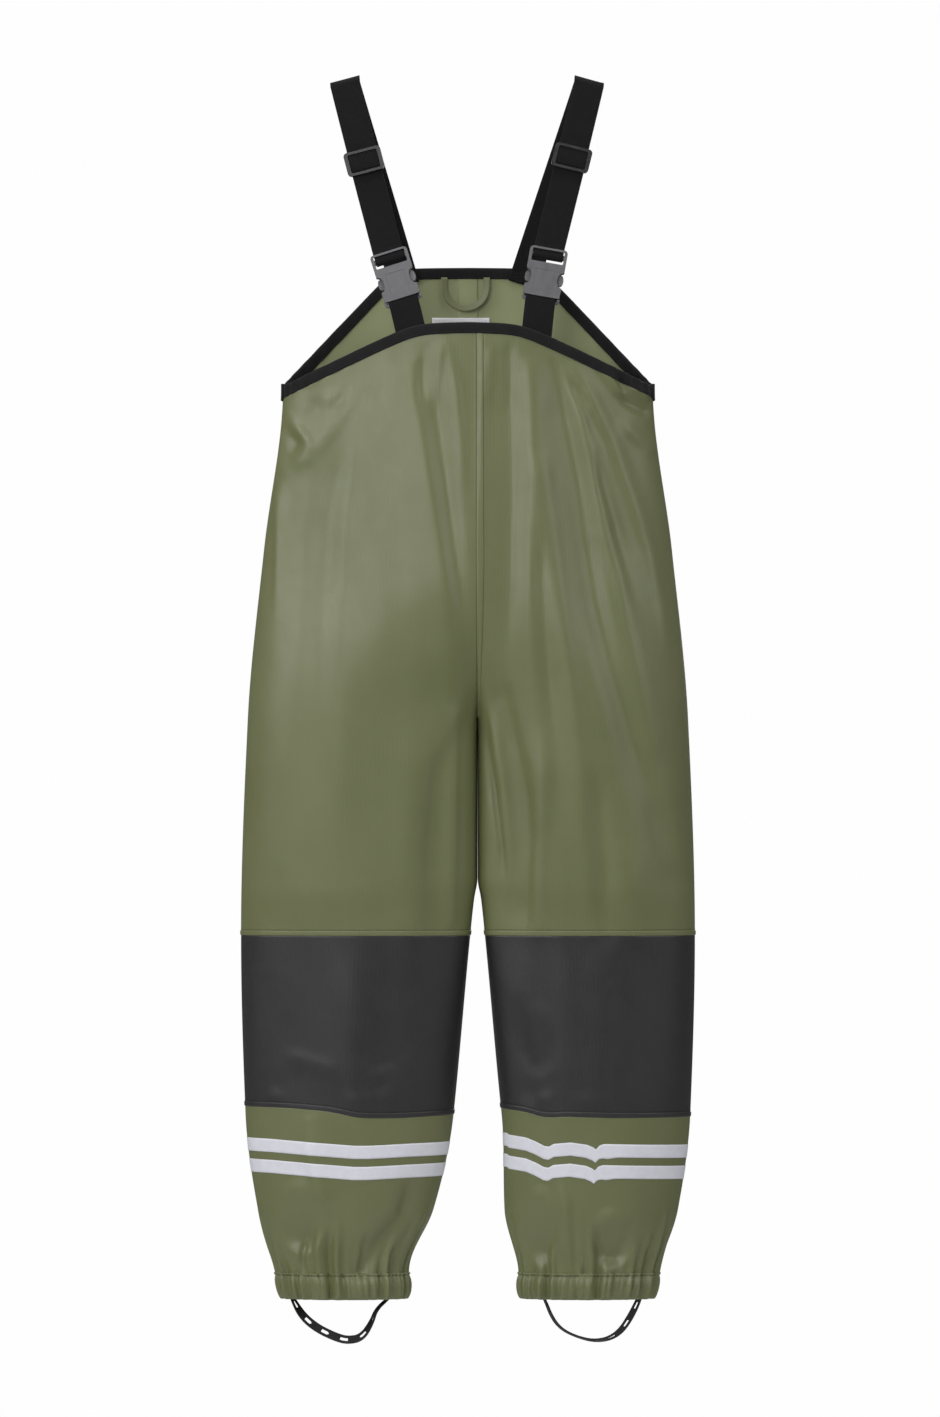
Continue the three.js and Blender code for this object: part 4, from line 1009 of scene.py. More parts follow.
for name, side in SIDES:
    raw = [(x, 0.0, z, twist) for x, z, twist in FOOT_BANDS[side]]
    rows, run = through(raw, BAND_STEP, 3)
    line = rows[:, :3] + np.array(HUNG)
    ahead = unit_rows(np.gradient(line, axis=0))
    twist = np.radians(rows[:, 3])
    flat_way = np.cross(ahead, [0, 1, 0])
    wide_way = flat_way * np.cos(twist)[:, None] + np.array([0, 1.0, 0]) * np.sin(twist)[:, None]
    count = len(line) - 1

    def place(across, up, line=line, wide_way=wide_way, run=run, count=count):
        row = np.rint(up * count).astype(int)
        off = (across - 0.5) * BAND_WIDE
        return line[row] + wide_way[row] * off[:, None], np.stack([off, run[row]], -1)
    build = place_grid(12, count, place)
    middle = run[-1] / 2
    straight = (SLOT_LONG - SLOT_WIDE) / 2
    gone = []
    for face in build.faces:
        spots = [loop[build.loops.layers.uv["weave"]].uv for loop in face.loops]
        u = sum(uv[0] for uv in spots) / 4
        v = sum(uv[1] for uv in spots) / 4 - middle + SLOT_PITCH / 2
        v = abs((v % SLOT_PITCH) - SLOT_PITCH / 2)
        if math.hypot(u, max(v - straight, 0)) < SLOT_WIDE / 2:
            gone.append(face)
    bmesh.ops.delete(build, geom=gone, context="FACES")
    band = make(f"rubber_band_{name}", build, f"foot_strap_{name}", "rubber_band", RUBBER,
                thick=BAND_THICK, offset=0.0)
    rounding = band.modifiers.new("round", "SUBSURF")
    rounding.levels = rounding.render_levels = 1
    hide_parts(f"foot_strap_{name}")

# ---------------------------------------------------------------- foot strap buttons
# Flat black plastic buttons, 11 mm across with a raised rim and four holes, sewn inside the cuff
# at the side seam and the inseam.
def moulded_plastic(name, low, high, roughness):
    """Moulded nylon with a fine spark grain and a few lighter scuffs."""
    material, tree, shader = finish(name, roughness)
    place = put(tree, "ShaderNodeTexCoord")
    scuff = speckle(tree, place, 160.0, 7.0, 0.72)
    tint(tree, shader, scuff, low, high)
    worn(tree, shader, scuff, roughness - 0.06, roughness + 0.08)
    raised(tree, shader, speckle(tree, place, 1800.0), 0.15, 0.0001)
    return material


BLACK_PLASTIC = moulded_plastic("black plastic", srgb(34, 34, 36), srgb(48, 48, 51), 0.30)
BUTTON_RIM = 0.0012
BUTTON_STEP = 0.0004
BUTTON_SUNK = 0.0005
BUTTON_ROUND = 0.0003
HOLE_RADIUS = 0.0007
HOLES_AT = 0.0013
SHARP = 0.6
for name, side in SIDES:
    for where in ("outer", "inner"):
        node = f"foot_strap_button_{where}_{name}"
        low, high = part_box(node)
        middle, radius, depth = (low + high) / 2, (high.z - low.z) / 2, high.x - low.x
        build = bmesh.new()
        inward = -1 if (where == "outer") == (side > 0) else 1
        turn = Matrix.Rotation(math.pi / 2 * inward, 4, "Y")
        bmesh.ops.create_cone(build, cap_ends=True, segments=48, radius1=radius, radius2=radius,
                              depth=depth)
        top = max(build.faces, key=lambda f: f.calc_center_median().z)
        bmesh.ops.inset_region(build, faces=[top], thickness=BUTTON_RIM, depth=0.0)
        bmesh.ops.inset_region(build, faces=[top], thickness=BUTTON_STEP, depth=-BUTTON_SUNK)
        edges = [e for e in build.edges if e.calc_face_angle(0) > SHARP]
        bmesh.ops.bevel(build, geom=edges, offset=BUTTON_ROUND, offset_type="OFFSET",
                        affect="EDGES", segments=3, profile=0.5, material=-1)
        for i in range(4):
            angle = math.pi / 4 + i * math.pi / 2
            spot = Matrix.Translation((HOLES_AT * math.cos(angle), HOLES_AT * math.sin(angle),
                                       depth / 2 - 0.0004))
            bmesh.ops.create_uvsphere(build, u_segments=12, v_segments=6, radius=HOLE_RADIUS,
                                      matrix=spot @ Matrix.Diagonal((1, 1, 0.4, 1)))
        bmesh.ops.transform(build, matrix=Matrix.Translation(middle) @ turn, verts=build.verts)
        button = make(f"button_{where}_{name}", build, "root", "slider_plastic", BLACK_PLASTIC)
        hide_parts(node)

# ---------------------------------------------------------------- edge bindings
# Black knitted tape, folded over the raw top edge of front and back and stitched through. The
# front tape's ends are turned down over the side seams as short tails.
def folded_tape():
    material, tree, shader = finish("binding tape", 0.75, 0.25)
    shader.inputs["Sheen Weight"].default_value = 0.08
    place = put(tree, "ShaderNodeTexCoord")
    ribs = put(tree, "ShaderNodeTexBrick", {
        "Vector": place.outputs["UV"], "Scale": 900.0, "Mortar Size": 0.06})
    tint(tree, shader, speckle(tree, place, 60.0, 5.0), srgb(14, 14, 14), srgb(23, 23, 24))
    raised(tree, shader, ribs.outputs["Fac"], 0.35, 0.0002)
    return material


TAPE = folded_tape()
tape_profile = np.array([
    # metres below the edge, metres off the shell
    (0.0092, 0.0002), (0.0091, 0.0008), (0.0086, 0.0010), (0.0074, 0.0009), (0.0060, 0.0011),
    (0.0035, 0.0012), (0.0016, 0.0012), (0.0005, 0.0008), (0.0, 0.0), (-0.0001, -0.0004),
    (0.0, -0.0009), (0.0005, -0.0016), (0.0016, -0.0020), (0.0035, -0.0020), (0.0060, -0.0019),
    (0.0074, -0.0017), (0.0086, -0.0018), (0.0091, -0.0016), (0.0092, -0.0009)])
RIPPLE = {FRONT: 0.0006, BACK: 0.0003}
TAPE_THICK = 0.0004
STITCHED_AT = 0.0074


def bound_edge(face, place_along, below, out):
    """Points of the top edge from one side seam, -1, to the other, 1."""
    points = np.zeros((len(below), 3))
    for _, side in SIDES:
        mine = (place_along < 0) == (side < 0)
        part = np.abs(place_along[mine])
        z = top_edge(face, side, part, below[mine])
        ripple = RIPPLE[face] * np.sin(70 * place_along[mine]) * smooth((part - 0.35) / 0.2)
        points[mine] = surface(face, side, part, z, out[mine] + ripple)
    return points


for label, face in (("front", FRONT), ("back", BACK)):
    def place(across, up, face=face):
        spot = up * (len(tape_profile) - 1)
        below = np.interp(spot, np.arange(len(tape_profile)), tape_profile[:, 0])
        out = np.interp(spot, np.arange(len(tape_profile)), tape_profile[:, 1])
        way = across * 2 - 1
        return bound_edge(face, way, below, out), np.stack([way * 0.2, below], -1)
    build = place_grid(300, 36, place, flip=face == BACK)
    tape = make(f"{label}_tape", build, "root", "binding_tape", TAPE, thick=TAPE_THICK)
    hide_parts(f"{label}_edge_binding")
    way = np.linspace(-0.995, 0.995, 360)
    build = bmesh.new()
    row = np.full(len(way), STITCHED_AT)
    stitched = bound_edge(face, way, row, np.full(len(way), 0.0011))
    facing = bound_edge(face, way, row, np.full(len(way), 0.0021)) - stitched
    sew(build, stitched, facing)
    make(f"{label}_tape_thread", build, "root", "binding_tape", DARK_THREAD)

# The tails start at this height, and spread over this share of a panel on each side of the seam.
TAIL_TOP = -0.0968
TAIL_LONG = 0.0140
TAIL_SPREAD = 0.075
for name, side in SIDES:
    def place(across, up, side=side):
        spread = (across * 2 - 1) * (1 - 0.35 * smooth((0.25 - up) / 0.25))
        z = TAIL_TOP - TAIL_LONG * (1 - up)
        fore = spread < 0
        part = 1 - np.abs(spread) * TAIL_SPREAD
        out = 0.0009 - 0.0006 * np.abs(across * 2 - 1) ** 6
        ahead = surface(FRONT, side, part, z, out)
        behind = surface(BACK, side, part, z, out)
        return np.where(fore[:, None], ahead, behind), np.stack([across * 0.01, z], -1)
    build = place_grid(16, 24, place, flip=side > 0)
    make(f"tape_tail_{name}", build, "root", "binding_tape", TAPE, thick=0.0008)

# ---------------------------------------------------------------- bib tabs
# Black polyester webbing, 25 mm wide and doubled round the bar of each buckle's plug. Both ends
# are sewn inside the bib, under its binding.
WEB_WIDE = 0.025
WEB_THICK = 0.0012


def webbing():
    """Plain-woven webbing: short ribs across, staggered, with a dull thread sheen."""
    material, tree, shader = finish("webbing", 0.72, 0.2)
    shader.inputs["Sheen Weight"].default_value = 0.08
    place = put(tree, "ShaderNodeTexCoord")
    picks = put(tree, "ShaderNodeTexBrick", {
        "Vector": place.outputs["UV"], "Scale": 1.0, "Brick Width": 0.0016, "Row Height": 0.0009,
        "Mortar Size": 0.00012, "Mortar Smooth": 0.8})
    picks.inputs["Color1"].default_value = (0.30, 0.30, 0.30, 1)
    picks.inputs["Color2"].default_value = (0.75, 0.75, 0.75, 1)
    fuzz = speckle(tree, place, 260.0, 5.0)
    both = put(tree, "ShaderNodeMath", {0: picks.outputs["Color"], 1: fuzz},
               operation="MULTIPLY")
    tint(tree, shader, both.outputs["Value"], srgb(10, 10, 11), srgb(28, 28, 30))
    height = put(tree, "ShaderNodeMath", {0: picks.outputs["Fac"], 1: -1.0}, operation="MULTIPLY")
    raised(tree, shader, height.outputs["Value"], 0.6, 0.0003)
    return material


WEBBING = webbing()


def ribbon(path, across, width=WEB_WIDE, thick=WEB_THICK, step=0.0016):
    """A closed flat ribbon along a path, with rounded edges; across[i] points along its width."""
    rows, at = through(np.concatenate([np.asarray(path, float), np.asarray(across, float)],
                                      axis=1), step, 2)
    count = len(at) - 1
    line, wide = rows[:, :3], rows[:, 3:]
    ahead = unit_rows(np.gradient(line, axis=0))
    wide = unit_rows(wide - (wide * ahead).sum(1, keepdims=True) * ahead)
    proud = np.cross(ahead, wide)
    edge = thick * 0.45
    flat = [(s * (width / 2 - edge), thick / 2) for s in np.linspace(-1, 1, 8)]
    corner = [(width / 2 - edge * (1 - math.sin(a)), thick / 2 * math.cos(a))
              for a in np.linspace(0.5, math.pi - 0.5, 5)]
    section = flat + corner + [(-s, -t) for s, t in flat + corner]
    section = np.array(section + section[:1])

    def place(around, up):
        column = np.rint(around * (len(section) - 1)).astype(int)
        row = np.rint(up * count).astype(int)
        s, t = section[column, 0:1], section[column, 1:2]
        return (line[row] + wide[row] * s + proud[row] * t,
                np.stack([section[column, 0] + (section[column, 1] < 0) * 0.0008, at[row]], -1))
    build = place_grid(len(section) - 1, count, place)
    bmesh.ops.remove_doubles(build, verts=build.verts, dist=1e-6)
    bmesh.ops.holes_fill(build, edges=[e for e in build.edges if e.is_boundary], sides=0)
    bmesh.ops.recalc_face_normals(build, faces=build.faces)
    return build


joints = {joint["name"]: joint for joint in frame["joints"]}


def spread_of(node, *ways):
    """Lowest and highest place of a CAD node along each direction."""
    spots = np.array([v.co for v in frame["nodes"][node].data.vertices])
    return [((spots @ np.array(way)).min(), (spots @ np.array(way)).max()) for way in ways]


class Axes:
    """Ways of a strap or buckle: u across it, w up along it, n out of its front face."""

    def __init__(self, w):
        self.w = Vector(w).normalized()
        if self.w.z < 0:
            self.w = -self.w
        self.u = Vector((self.w.z, 0, -self.w.x)).normalized()
        self.n = self.u.cross(self.w)

    def at(self, origin, w, n=0.0):
        return origin + self.w * w + self.n * n


def axis_of(joint):
    return joint.get("axis") or joint["axis_xyz"]


# How far the plug's base reaches below the housing's mouth, and how deep a slider's front face
# is above its middle.
PLUG_FOOT = 0.009
SLIDER_FACE = 0.0031
buckles = {}
straps = {}
for name, side in SIDES:
    buckle = Axes(axis_of(joints[f"buckle_{name}_release"]))
    (u0, u1), (w0, _), (n0, n1) = spread_of(f"buckle_plug_{name}", buckle.u, buckle.w, buckle.n)
    buckle.mouth = (buckle.u * (u0 + u1) / 2 + buckle.w * (w0 + PLUG_FOOT)
                    + buckle.n * (n0 + n1) / 2)
    buckles[name] = buckle
    strap = Axes(axis_of(joints[f"slider_{name}_adjust"]))
    (u0, u1), (w0, w1), (_, n1) = spread_of(f"slider_{name}", strap.u, strap.w, strap.n)
    strap.slider = (strap.u * (u0 + u1) / 2 + strap.w * (w0 + w1) / 2
                    + strap.n * (n1 - SLIDER_FACE))
    straps[name] = strap


def inside_of(face, side, x, z, out):
    """A point inside the body at x, `out` metres off the shell."""
    part = part_at(face, side, np.array([x]), np.array([z]))
    return Vector(surface(face, side, part, np.array([z]), out)[0])


def across_there(face, side, x, z, out):
    """The way across the cloth at that point."""
    return (inside_of(face, side, x + 0.005, z, out)
            - inside_of(face, side, x - 0.005, z, out)).normalized()


SEWN = 0.024
PLUG_BAR = -0.00725
# The tab's layers inside the bib, off the shell: the one behind and the one in front.
TAB_REAR = -0.0048
TAB_FORE = -0.0026
for name, side in SIDES:
    buckle = buckles[name]
    foot_x, tilt = TAB_FOOT[name]
    foot_z = float(edge_z(FRONT, foot_x))
    low_x, low_z = foot_x - side * SEWN * math.sin(tilt), foot_z - SEWN
    ahead = across_there(FRONT, side, foot_x, foot_z - 0.004, -0.003)
    turn = [buckle.at(buckle.mouth, PLUG_BAR + w, n) for w, n in (
        (-0.0022, -0.0028), (0.0020, -0.0028), (0.0030, -0.0020), (0.0031, 0.0),
        (0.0030, 0.0020), (0.0020, 0.0028), (-0.0022, 0.0028))]
    path = [inside_of(FRONT, side, low_x, low_z, TAB_REAR),
            inside_of(FRONT, side, foot_x, foot_z + 0.001, TAB_REAR - 0.0002), *turn,
            inside_of(FRONT, side, foot_x, foot_z + 0.001, TAB_FORE),
            inside_of(FRONT, side, low_x, low_z, TAB_FORE)]
    wide = [ahead, ahead] + [buckle.u] * len(turn) + [ahead, ahead]
    tab = make(f"webbing_tab_{name}", ribbon(path, wide), "root", "webbing", WEBBING)
    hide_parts(f"bib_tab_{name}")

# ---------------------------------------------------------------- buckles
# Side-release buckles moulded in dark grey nylon for 25 mm webbing. The plug has a bar for the
# tab, a middle tongue and two springy prongs, and the housing has a bar for the strap.
GREY_PLASTIC = moulded_plastic("grey plastic", srgb(90, 90, 93), srgb(108, 108, 111), 0.40)
HALF = 0.0158
SLOT_HALF = 0.0133


def plate(outline, holes, low, high):
    """A plate between two heights, from an outline and holes drawn in u and w."""
    build = bmesh.new()
    for loop in [outline, *holes]:
        corners = [build.verts.new((u, w, low)) for u, w in loop]
        for a, b in zip(corners, corners[1:] + corners[:1]):
            build.edges.new((a, b))
    bmesh.ops.triangle_fill(build, edges=build.edges, use_beauty=True, use_dissolve=True)
    made = bmesh.ops.extrude_face_region(build, geom=build.faces[:])
    moved = [g for g in made["geom"] if isinstance(g, bmesh.types.BMVert)]
    bmesh.ops.translate(build, verts=moved, vec=(0, 0, high - low))
    bmesh.ops.recalc_face_normals(build, faces=build.faces)
    return build


def rounded(u0, w0, u1, w1, radius, steps=5):
    """Corners of a rectangle with rounded corners."""
    points = []
    for cu, cw, start in ((u1 - radius, w0 + radius, -90), (u1 - radius, w1 - radius, 0),
                          (u0 + radius, w1 - radius, 90), (u0 + radius, w0 + radius, 180)):
        for i in range(steps + 1):
            a = math.radians(start + 90 * i / steps)
            points.append((cu + radius * math.cos(a), cw + radius * math.sin(a)))
    return points


def both_sides(half):
    """A closed outline from its right half, listed from the bottom up."""
    return half + [(-u, w) for u, w in reversed(half)]


def soften(build, size):
    """Rounds every edge that turns more than about 30 degrees."""
    edges = [e for e in build.edges if e.calc_face_angle(0) > 0.5]
    bmesh.ops.bevel(build, geom=edges, offset=size, offset_type="OFFSET", affect="EDGES",
                    segments=3, profile=0.5, material=-1, clamp_overlap=True)


def join(build, extra):
    """Adds a second solid, which is used up."""
    mesh = bpy.data.meshes.new("extra")
    extra.to_mesh(mesh)
    extra.free()
    build.from_mesh(mesh)
    bpy.data.meshes.remove(mesh)


def cut_away(build, *cutters):
    """The solid less each cutter, which is used up."""
    keep = bpy.data.meshes.new("solid")
    build.to_mesh(keep)
    build.free()
    solid = bpy.data.objects.new("solid", keep)
    bpy.context.scene.collection.objects.link(solid)
    used = []
    for cutter in cutters:
        mesh = bpy.data.meshes.new("cutter")
        cutter.to_mesh(mesh)
        cutter.free()
        tool = bpy.data.objects.new("cutter", mesh)
        bpy.context.scene.collection.objects.link(tool)
        cut = solid.modifiers.new("cut", "BOOLEAN")
        cut.operation = "DIFFERENCE"
        cut.solver = "EXACT"
        cut.object = tool
        used.append(tool)
    bpy.context.view_layer.update()
    done = bpy.data.meshes.new_from_object(
        solid.evaluated_get(bpy.context.evaluated_depsgraph_get()))
    result = bmesh.new()
    result.from_mesh(done)
    for tool in [solid, *used]:
        bpy.data.objects.remove(tool)
    bpy.data.meshes.remove(done)
    bmesh.ops.dissolve_limit(result, angle_limit=0.01, verts=result.verts, edges=result.edges)
    return result


def block(u0, u1, w0, w1, n0, n1):
    """A box between two places along u, w and n."""
    build = bmesh.new()
    bmesh.ops.create_cube(build, size=1)
    size = Matrix.Diagonal((u1 - u0, w1 - w0, n1 - n0, 1))
    middle = Matrix.Translation(((u0 + u1) / 2, (w0 + w1) / 2, (n0 + n1) / 2))
    bmesh.ops.transform(build, matrix=middle @ size, verts=build.verts)
    return build


def seat(build, axes, origin):
    """Stands a shape drawn in u, w and n at its place on the strap."""
    turn = Matrix((axes.u, axes.w, axes.n)).transposed().to_4x4()
    bmesh.ops.transform(build, matrix=Matrix.Translation(origin) @ turn, verts=build.verts)
    return build


def weighted(piece):
    """Keeps the flat faces of a moulding flat beside its rounded edges."""
    normals = piece.modifiers.new("flat faces", "WEIGHTED_NORMAL")
    normals.keep_sharp = False
    normals.weight = 80
    return piece


# The housing: where its mouth, its closed body and its side rails end, its half depth, and the
# half height of the space inside. The strap's bar lies across between the rails.
HOUSING_FOOT = -0.0046
BODY_TOP = 0.0240
RAIL_TOP = 0.0364
HOUSING_DEEP = 0.0046
SOCKET = 0.0027
BAR_W = 0.0302
CROWN = 0.16
PAST = 0.03
notch = [(HALF - 0.0003, 0.0038), (0.0128, 0.0050), (0.0114, 0.0072), (0.0110, 0.0105),
         (0.0113, 0.0138), (0.0127, 0.0162), (HALF, 0.0178)]
housing_half = [(0.0138, HOUSING_FOOT), (0.0148, HOUSING_FOOT + 0.0004),
                (0.0153, HOUSING_FOOT + 0.0014), *notch, (HALF, RAIL_TOP - 0.0026),
                (HALF - 0.0008, RAIL_TOP - 0.0008), (HALF - 0.0026, RAIL_TOP)]
base_half = [(HALF - 0.0022, -0.0090), (HALF - 0.0007, -0.0083), (HALF, -0.0068),
             (HALF, -0.0050), (0.0122, -0.0048), (0.0122, -0.0006), (0.0030, 0.0),
             (0.0030, 0.0160), (0.0016, 0.0180)]
prong_pad = [(0.0092, 0.0006), (0.0114, 0.0006), (0.0116, 0.0056), (0.0128, 0.0062),
             (0.0146, 0.0064), (0.0157, 0.0078), (0.0162, 0.0104), (0.0158, 0.0132),
             (0.0148, 0.0152), (0.0132, 0.0156), (0.0116, 0.0168), (0.0104, 0.0184),
             (0.0094, 0.0182), (0.0090, 0.0120)]
PLUG_DEEP = 0.0019
PRONG_DEEP = 0.0018
for name, side in SIDES:
    buckle = buckles[name]
    window = rounded(-SLOT_HALF, BODY_TOP, SLOT_HALF, RAIL_TOP - 0.0017, 0.0010, 3)
    build = plate(both_sides(housing_half), [window], -HOUSING_DEEP, HOUSING_DEEP)
    build = cut_away(
        build,
        # the socket, the side openings for the prongs, and the way in for the strap
        block(-0.0129, 0.0129, HOUSING_FOOT - 0.002, 0.0200, -SOCKET, SOCKET),
        block(-PAST, PAST, 0.0052, 0.0163, -SOCKET, SOCKET),
        block(-SLOT_HALF, SLOT_HALF, BODY_TOP + 0.004, 0.05, -0.02, 0.0026),
        # the rails are thinner than the body, and the front has a shallow panel
        block(-PAST, PAST, BODY_TOP + 0.0015, 0.05, 0.0040, 0.02),
        block(-PAST, PAST, BODY_TOP + 0.0015, 0.05, -0.02, -0.0034),
        block(-0.0080, 0.0080, -0.0001, 0.0180, 0.00425, 0.02))
    for vert in build.verts:
        vert.co.z *= 1 - CROWN * (vert.co.x / HALF) ** 2
    soften(build, 0.00055)
    bar = plate(rounded(-SLOT_HALF - 0.0006, -0.0021, SLOT_HALF + 0.0006, 0.0021, 0.0006, 2), [],
                -0.0016, 0.0016)
    soften(bar, 0.0006)
    bmesh.ops.translate(bar, verts=bar.verts, vec=(0, BAR_W, 0))
    join(build, bar)
    housing = weighted(make(f"housing_{name}", seat(build, buckle, buckle.mouth),
                            f"buckle_{name}", "buckle_plastic", GREY_PLASTIC))
    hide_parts(f"buckle_housing_{name}")

    base_hole = rounded(-SLOT_HALF, -0.0055, SLOT_HALF, -0.0024, 0.0006, 2)
    build = plate(both_sides(base_half), [base_hole], -PLUG_DEEP, PLUG_DEEP)
    soften(build, 0.0004)
    plug = weighted(make(f"plug_{name}", seat(build, buckle, buckle.mouth), "root",
                         "buckle_plastic", GREY_PLASTIC))
    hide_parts(f"buckle_plug_{name}")

    for where, way in (("outer", side), ("inner", -side)):
        pad = prong_pad if way > 0 else [(-u, w) for u, w in reversed(prong_pad)]
        build = plate(pad, [], -PRONG_DEEP, PRONG_DEEP)
        for vert in build.verts:
            if abs(vert.co.x) < 0.0118:
                vert.co.z *= 0.75
        soften(build, 0.0005)
        prong = weighted(make(f"prong_{where}_{name}", seat(build, buckle, buckle.mouth),
                              f"prong_{where}_{name}", "buckle_plastic", GREY_PLASTIC))
        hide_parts(f"buckle_prong_{where}_{name}")

# ---------------------------------------------------------------- shoulder straps
# The same black webbing, sewn inside the back neck, over the shoulder and down to the buckle. It
# turns under the buckle's bar and goes back up behind itself to the slider.
# Where each strap leaves the back neck and where its fold hangs, how much of it is sewn to the
# back, and the fold's radius and how many steps it bends in.
BACK_STRAP_X = {"left": 0.0565, "right": 0.050}
STRAP_TOP_X = {"left": -0.102, "right": 0.1005}
BACK_SEWN = 0.013
FOLD_ROUND = 0.0045
FOLD_STEPS = 8
FRONT_LOW = 0.074
for name, side in SIDES:
    buckle, strap = buckles[name], straps[name]
    strap_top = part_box(f"shoulder_strap_{name}")[1].z - 0.0045
    fold = Vector((STRAP_TOP_X[name], HUNG.y, strap_top - FOLD_ROUND))
    back_x = BACK_STRAP_X[name]
    back_z = float(edge_z(BACK, side * back_x))
    back_edge = inside_of(BACK, side, side * back_x, back_z, -0.0034)
    tilt = math.atan2(side * (fold.x - back_edge.x), fold.z - back_edge.z)
    back_low = inside_of(BACK, side, side * (back_x - BACK_SEWN * math.sin(tilt)),
                         back_z - BACK_SEWN, -0.0032)
    sewn_way = across_there(BACK, side, side * back_x, back_z - BACK_SEWN, -0.003)
    path, wide = [back_low, back_edge], [sewn_way, sewn_way]
    lean = math.asin(-strap.w.y)
    front_tilt = math.atan2(side * strap.w.x, strap.w.z)
    crest = len(path) + FOLD_STEPS // 2
    for i in range(FOLD_STEPS + 1):
        turn = math.pi + lean - (math.pi + 2 * lean) * i / FOLD_STEPS
        here = tilt + (front_tilt - tilt) * i / FOLD_STEPS
        path.append(fold + Vector((0, -FOLD_ROUND * math.cos(turn), FOLD_ROUND * math.sin(turn))))
        wide.append(Vector((math.cos(here), 0, -side * math.sin(here))))
    make(f"strap_behind_{name}", ribbon(path[:crest + 1], wide[:crest + 1]), "root", "webbing",
         WEBBING)
    path, wide = path[crest:], wide[crest:]
    low = strap.slider - strap.w * FRONT_LOW
    path.append(low)
    wide.append(strap.u)
    turn = [buckle.at(buckle.mouth, BAR_W + w, n) for w, n in (
        (0.0052, 0.0014), (0.0022, 0.0025), (-0.0012, 0.0025), (-0.0026, 0.0018), (-0.0030, 0.0))]
    path += turn
    wide += [buckle.u] * len(turn)
    strap_piece = make(f"strap_{name}", ribbon(path, wide), None, "webbing", WEBBING)
    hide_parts(f"shoulder_strap_{name}")
    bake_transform(strap_piece)

    behind = [buckle.at(buckle.mouth, BAR_W + w, n) for w, n in (
        (-0.0030, -0.0001), (-0.0026, -0.0018), (-0.0012, -0.0025), (0.0040, -0.0026),
        (0.0090, -0.0022))]
    path = behind + [low - strap.n * 0.0016 + strap.w * 0.004,
                     strap.slider - strap.w * 0.0105 - strap.n * 0.0015]
    wide = [buckle.u] * len(behind) + [strap.u, strap.u]
    return_piece = make(f"strap_return_piece_{name}", ribbon(path, wide), None, "webbing",
                        WEBBING)
    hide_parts(f"strap_return_{name}")
    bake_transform(return_piece)

    build = bmesh.new()
    for drop in (0.0035, 0.0065, 0.0105):
        marks = [inside_of(BACK, side, side * back_x + x, back_z - drop, -0.0041)
                 for x in np.linspace(-0.011, 0.011, 9)]
        sew(build, marks, np.tile((0.0, -1.0, 0.0), (9, 1)))
    make(f"strap_thread_{name}", build, "root", "webbing", DARK_THREAD)

# ---------------------------------------------------------------- sliders
# Three-bar strap adjusters in black nylon. The strap runs behind the two end bars, and its end
# is folded round the middle bar and sewn to itself.
SLIDER_HALF = 0.0157
SLIDER_TALL = 0.0100
WINDOW_HALF = 0.0124
WINDOW_TALL = 0.0078
for name, side in SIDES:
    strap = straps[name]
    outline = rounded(-SLIDER_HALF, -SLIDER_TALL, SLIDER_HALF, SLIDER_TALL, 0.0032, 6)
    window = rounded(-WINDOW_HALF, -WINDOW_TALL, WINDOW_HALF, WINDOW_TALL, 0.0014, 4)
    build = plate(outline, [window], -0.0040, 0.0029)
    # the end bars stand in front of the strap, and the frame is thinner beside them
    build = cut_away(build, block(-WINDOW_HALF, WINDOW_HALF, -0.02, 0.02, -0.02, 0.0009),
                     block(-PAST, PAST, -0.02, -0.0056, -0.02, -0.0012),
                     block(-PAST, PAST, 0.0056, 0.02, -0.02, -0.0012))
    soften(build, 0.0006)
    bar_half = WINDOW_HALF + 0.001
    bar = plate(rounded(-bar_half, -0.0017, bar_half, 0.0017, 0.0005, 2), [], -0.0042, -0.0020)
    soften(bar, 0.0005)
    join(build, bar)
    frame_piece = weighted(make(f"adjuster_{name}", seat(build, strap, strap.slider),
                                f"slider_{name}", "slider_plastic", BLACK_PLASTIC))
    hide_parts(f"slider_{name}")

    arch = [strap.at(strap.slider, w, n) for w, n in (
        (-0.0075, 0.0013), (-0.0050, 0.0017), (0.0, 0.0020), (0.0050, 0.0017), (0.0075, 0.0013))]
    make(f"strap_arch_{name}", ribbon(arch, [strap.u] * len(arch)), f"slider_{name}", "webbing",
         WEBBING)
    loop = [strap.at(strap.slider, w, n) for w, n in (
        (-0.0090, -0.0017), (0.0014, -0.0015), (0.0026, -0.0022), (0.0029, -0.0031),
        (0.0026, -0.0040), (0.0014, -0.0048), (-0.0150, -0.0034))]
    end = make(f"strap_end_fold_{name}", ribbon(loop, [strap.u] * len(loop)), f"slider_{name}",
               "webbing", WEBBING)
    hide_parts(f"strap_end_{name}")

# ---------------------------------------------------------------- hang loop
# A narrow loop of the green coated cloth, folded double and sewn at both ends inside the back
# neck, to hang the trousers on a hook.
loop_low, loop_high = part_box("hang_loop")
loop_low.z += 0.0012
loop_high.z += 0.0036
loop_middle = (loop_low + loop_high) / 2
LOOP_TAPE = 0.0056
LOOP_THICK = 0.0015
LOOP_HALF = (loop_high.x - loop_low.x) / 2 - LOOP_TAPE / 2
LEG_STEPS = 4
ROUND_STEPS = 16
bend_z = loop_low.z + LOOP_HALF + LOOP_TAPE / 2
leg_long = loop_high.z - loop_low.z - LOOP_HALF - LOOP_TAPE / 2
path, wide = [], []
for i in range(LEG_STEPS + 1):
    path.append((loop_middle.x - LOOP_HALF, loop_middle.y,
                 loop_high.z - i / LEG_STEPS * leg_long))
    wide.append((1, 0.12, 0))
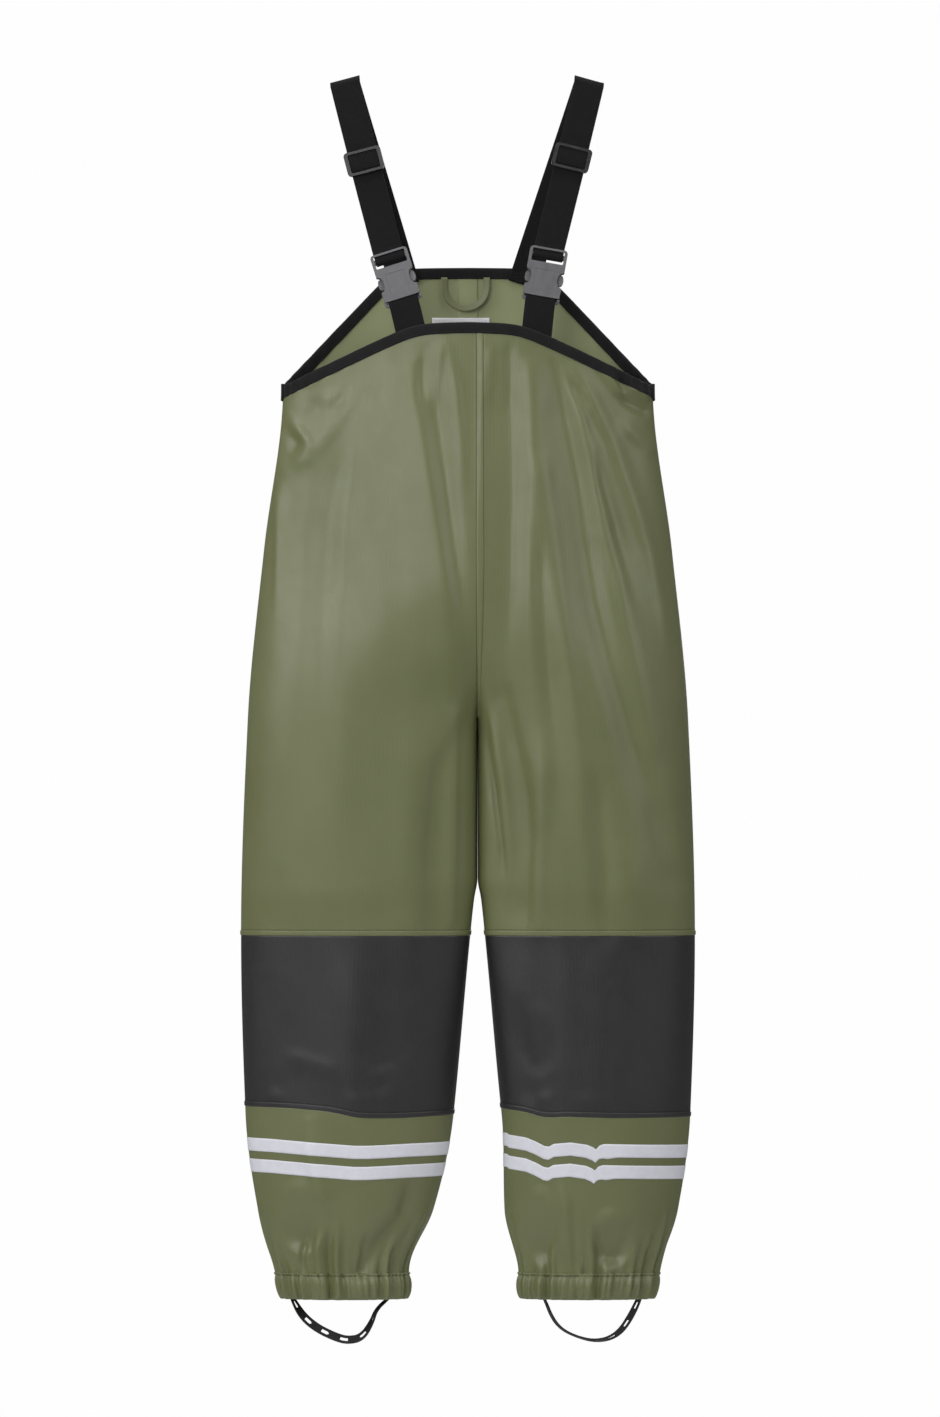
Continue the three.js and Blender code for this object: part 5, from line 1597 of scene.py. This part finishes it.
for i in range(1, ROUND_STEPS):
    a = math.pi + math.pi * i / ROUND_STEPS
    path.append((loop_middle.x + LOOP_HALF * math.cos(a), loop_middle.y,
                 bend_z + LOOP_HALF * math.sin(a)))
    wide.append((-math.cos(a), 0.18, -math.sin(a)))
for i in range(LEG_STEPS + 1):
    path.append((loop_middle.x + LOOP_HALF, loop_middle.y, bend_z + i / LEG_STEPS * leg_long))
    wide.append((-1, 0.12, 0))
loop_piece = make("loop_tape", ribbon(path, wide, LOOP_TAPE, LOOP_THICK, 0.001), "hang_loop",
                  "green_fabric", GREEN_OUT)
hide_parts("hang_loop")

# ---------------------------------------------------------------- care label
# A blank white woven-satin label, sewn along its top edge inside the back, below the loop. Its
# lower edge curls away from the cloth a little.
def woven_satin():
    material, tree, shader = finish("white satin", 0.5, 0.5)
    shader.inputs["Sheen Weight"].default_value = 0.3
    place = put(tree, "ShaderNodeTexCoord")
    floats = put(tree, "ShaderNodeTexBrick", {
        "Vector": place.outputs["UV"], "Scale": 1.0, "Brick Width": 0.0012, "Row Height": 0.0003,
        "Mortar Size": 0.00004})
    tint(tree, shader, speckle(tree, place, 60.0), srgb(236, 235, 240), srgb(243, 242, 246))
    raised(tree, shader, floats.outputs["Fac"], 0.2, 0.0001)
    return material


LABEL_WIDE = 0.048
LABEL_TALL = 0.034
LABEL_TOP = -0.0409
LABEL_X = -0.006


def label_place(across, up):
    x = LABEL_X + LABEL_WIDE * (across - 0.5)
    z = LABEL_TOP - LABEL_TALL * (1 - up)
    points = np.zeros((len(x), 3))
    curl = 0.0006 + 0.0012 * (1 - up) ** 2 * (0.6 + 0.4 * np.sin(5 * across))
    for _, side in SIDES:
        mine = (x < back_seam(z)) == (side < 0)
        part = part_at(BACK, side, x[mine], z[mine])
        points[mine] = surface(BACK, side, part, z[mine], -CLOTH - 0.0005 - curl[mine])
    return points, np.stack([x, z], -1)


label = make("blank_label", place_grid(40, 30, label_place), "root", "label", woven_satin(),
             thick=0.0002, offset=0.0)
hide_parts("care_label")
marks, _ = label_place(np.linspace(0.04, 0.96, 30), np.full(30, 0.93))
marks[:, 1] -= 0.0003
build = bmesh.new()
sew(build, marks, np.tile((0.0, -1.0, 0.0), (len(marks), 1)))
make("label_thread", build, "root", "label", thread(srgb(200, 200, 204)))

# ---------------------------------------------------------------- floor
# A plain pale round floor, well below the hanging trousers. It isn't part of them, and its
# matt paint is even all over.
FLOOR_BELOW = 0.55
FLOOR_RADIUS = 2.4
build = bmesh.new()
bmesh.ops.create_circle(build, cap_ends=True, segments=96, radius=FLOOR_RADIUS)
bmesh.ops.translate(build, verts=build.verts, vec=(0, 0, cad_box[0][2] - FLOOR_BELOW))
floor_mesh = bpy.data.meshes.new("floor")
build.to_mesh(floor_mesh)
build.free()
floor = bpy.data.objects.new("floor", floor_mesh)
bpy.context.scene.collection.objects.link(floor)
paint, paint_tree, paint_shader = finish("pale floor", 0.8, 0.2)
paint_shader.inputs["Base Color"].default_value = (0.70, 0.70, 0.70, 1)
floor_mesh.materials.append(paint)
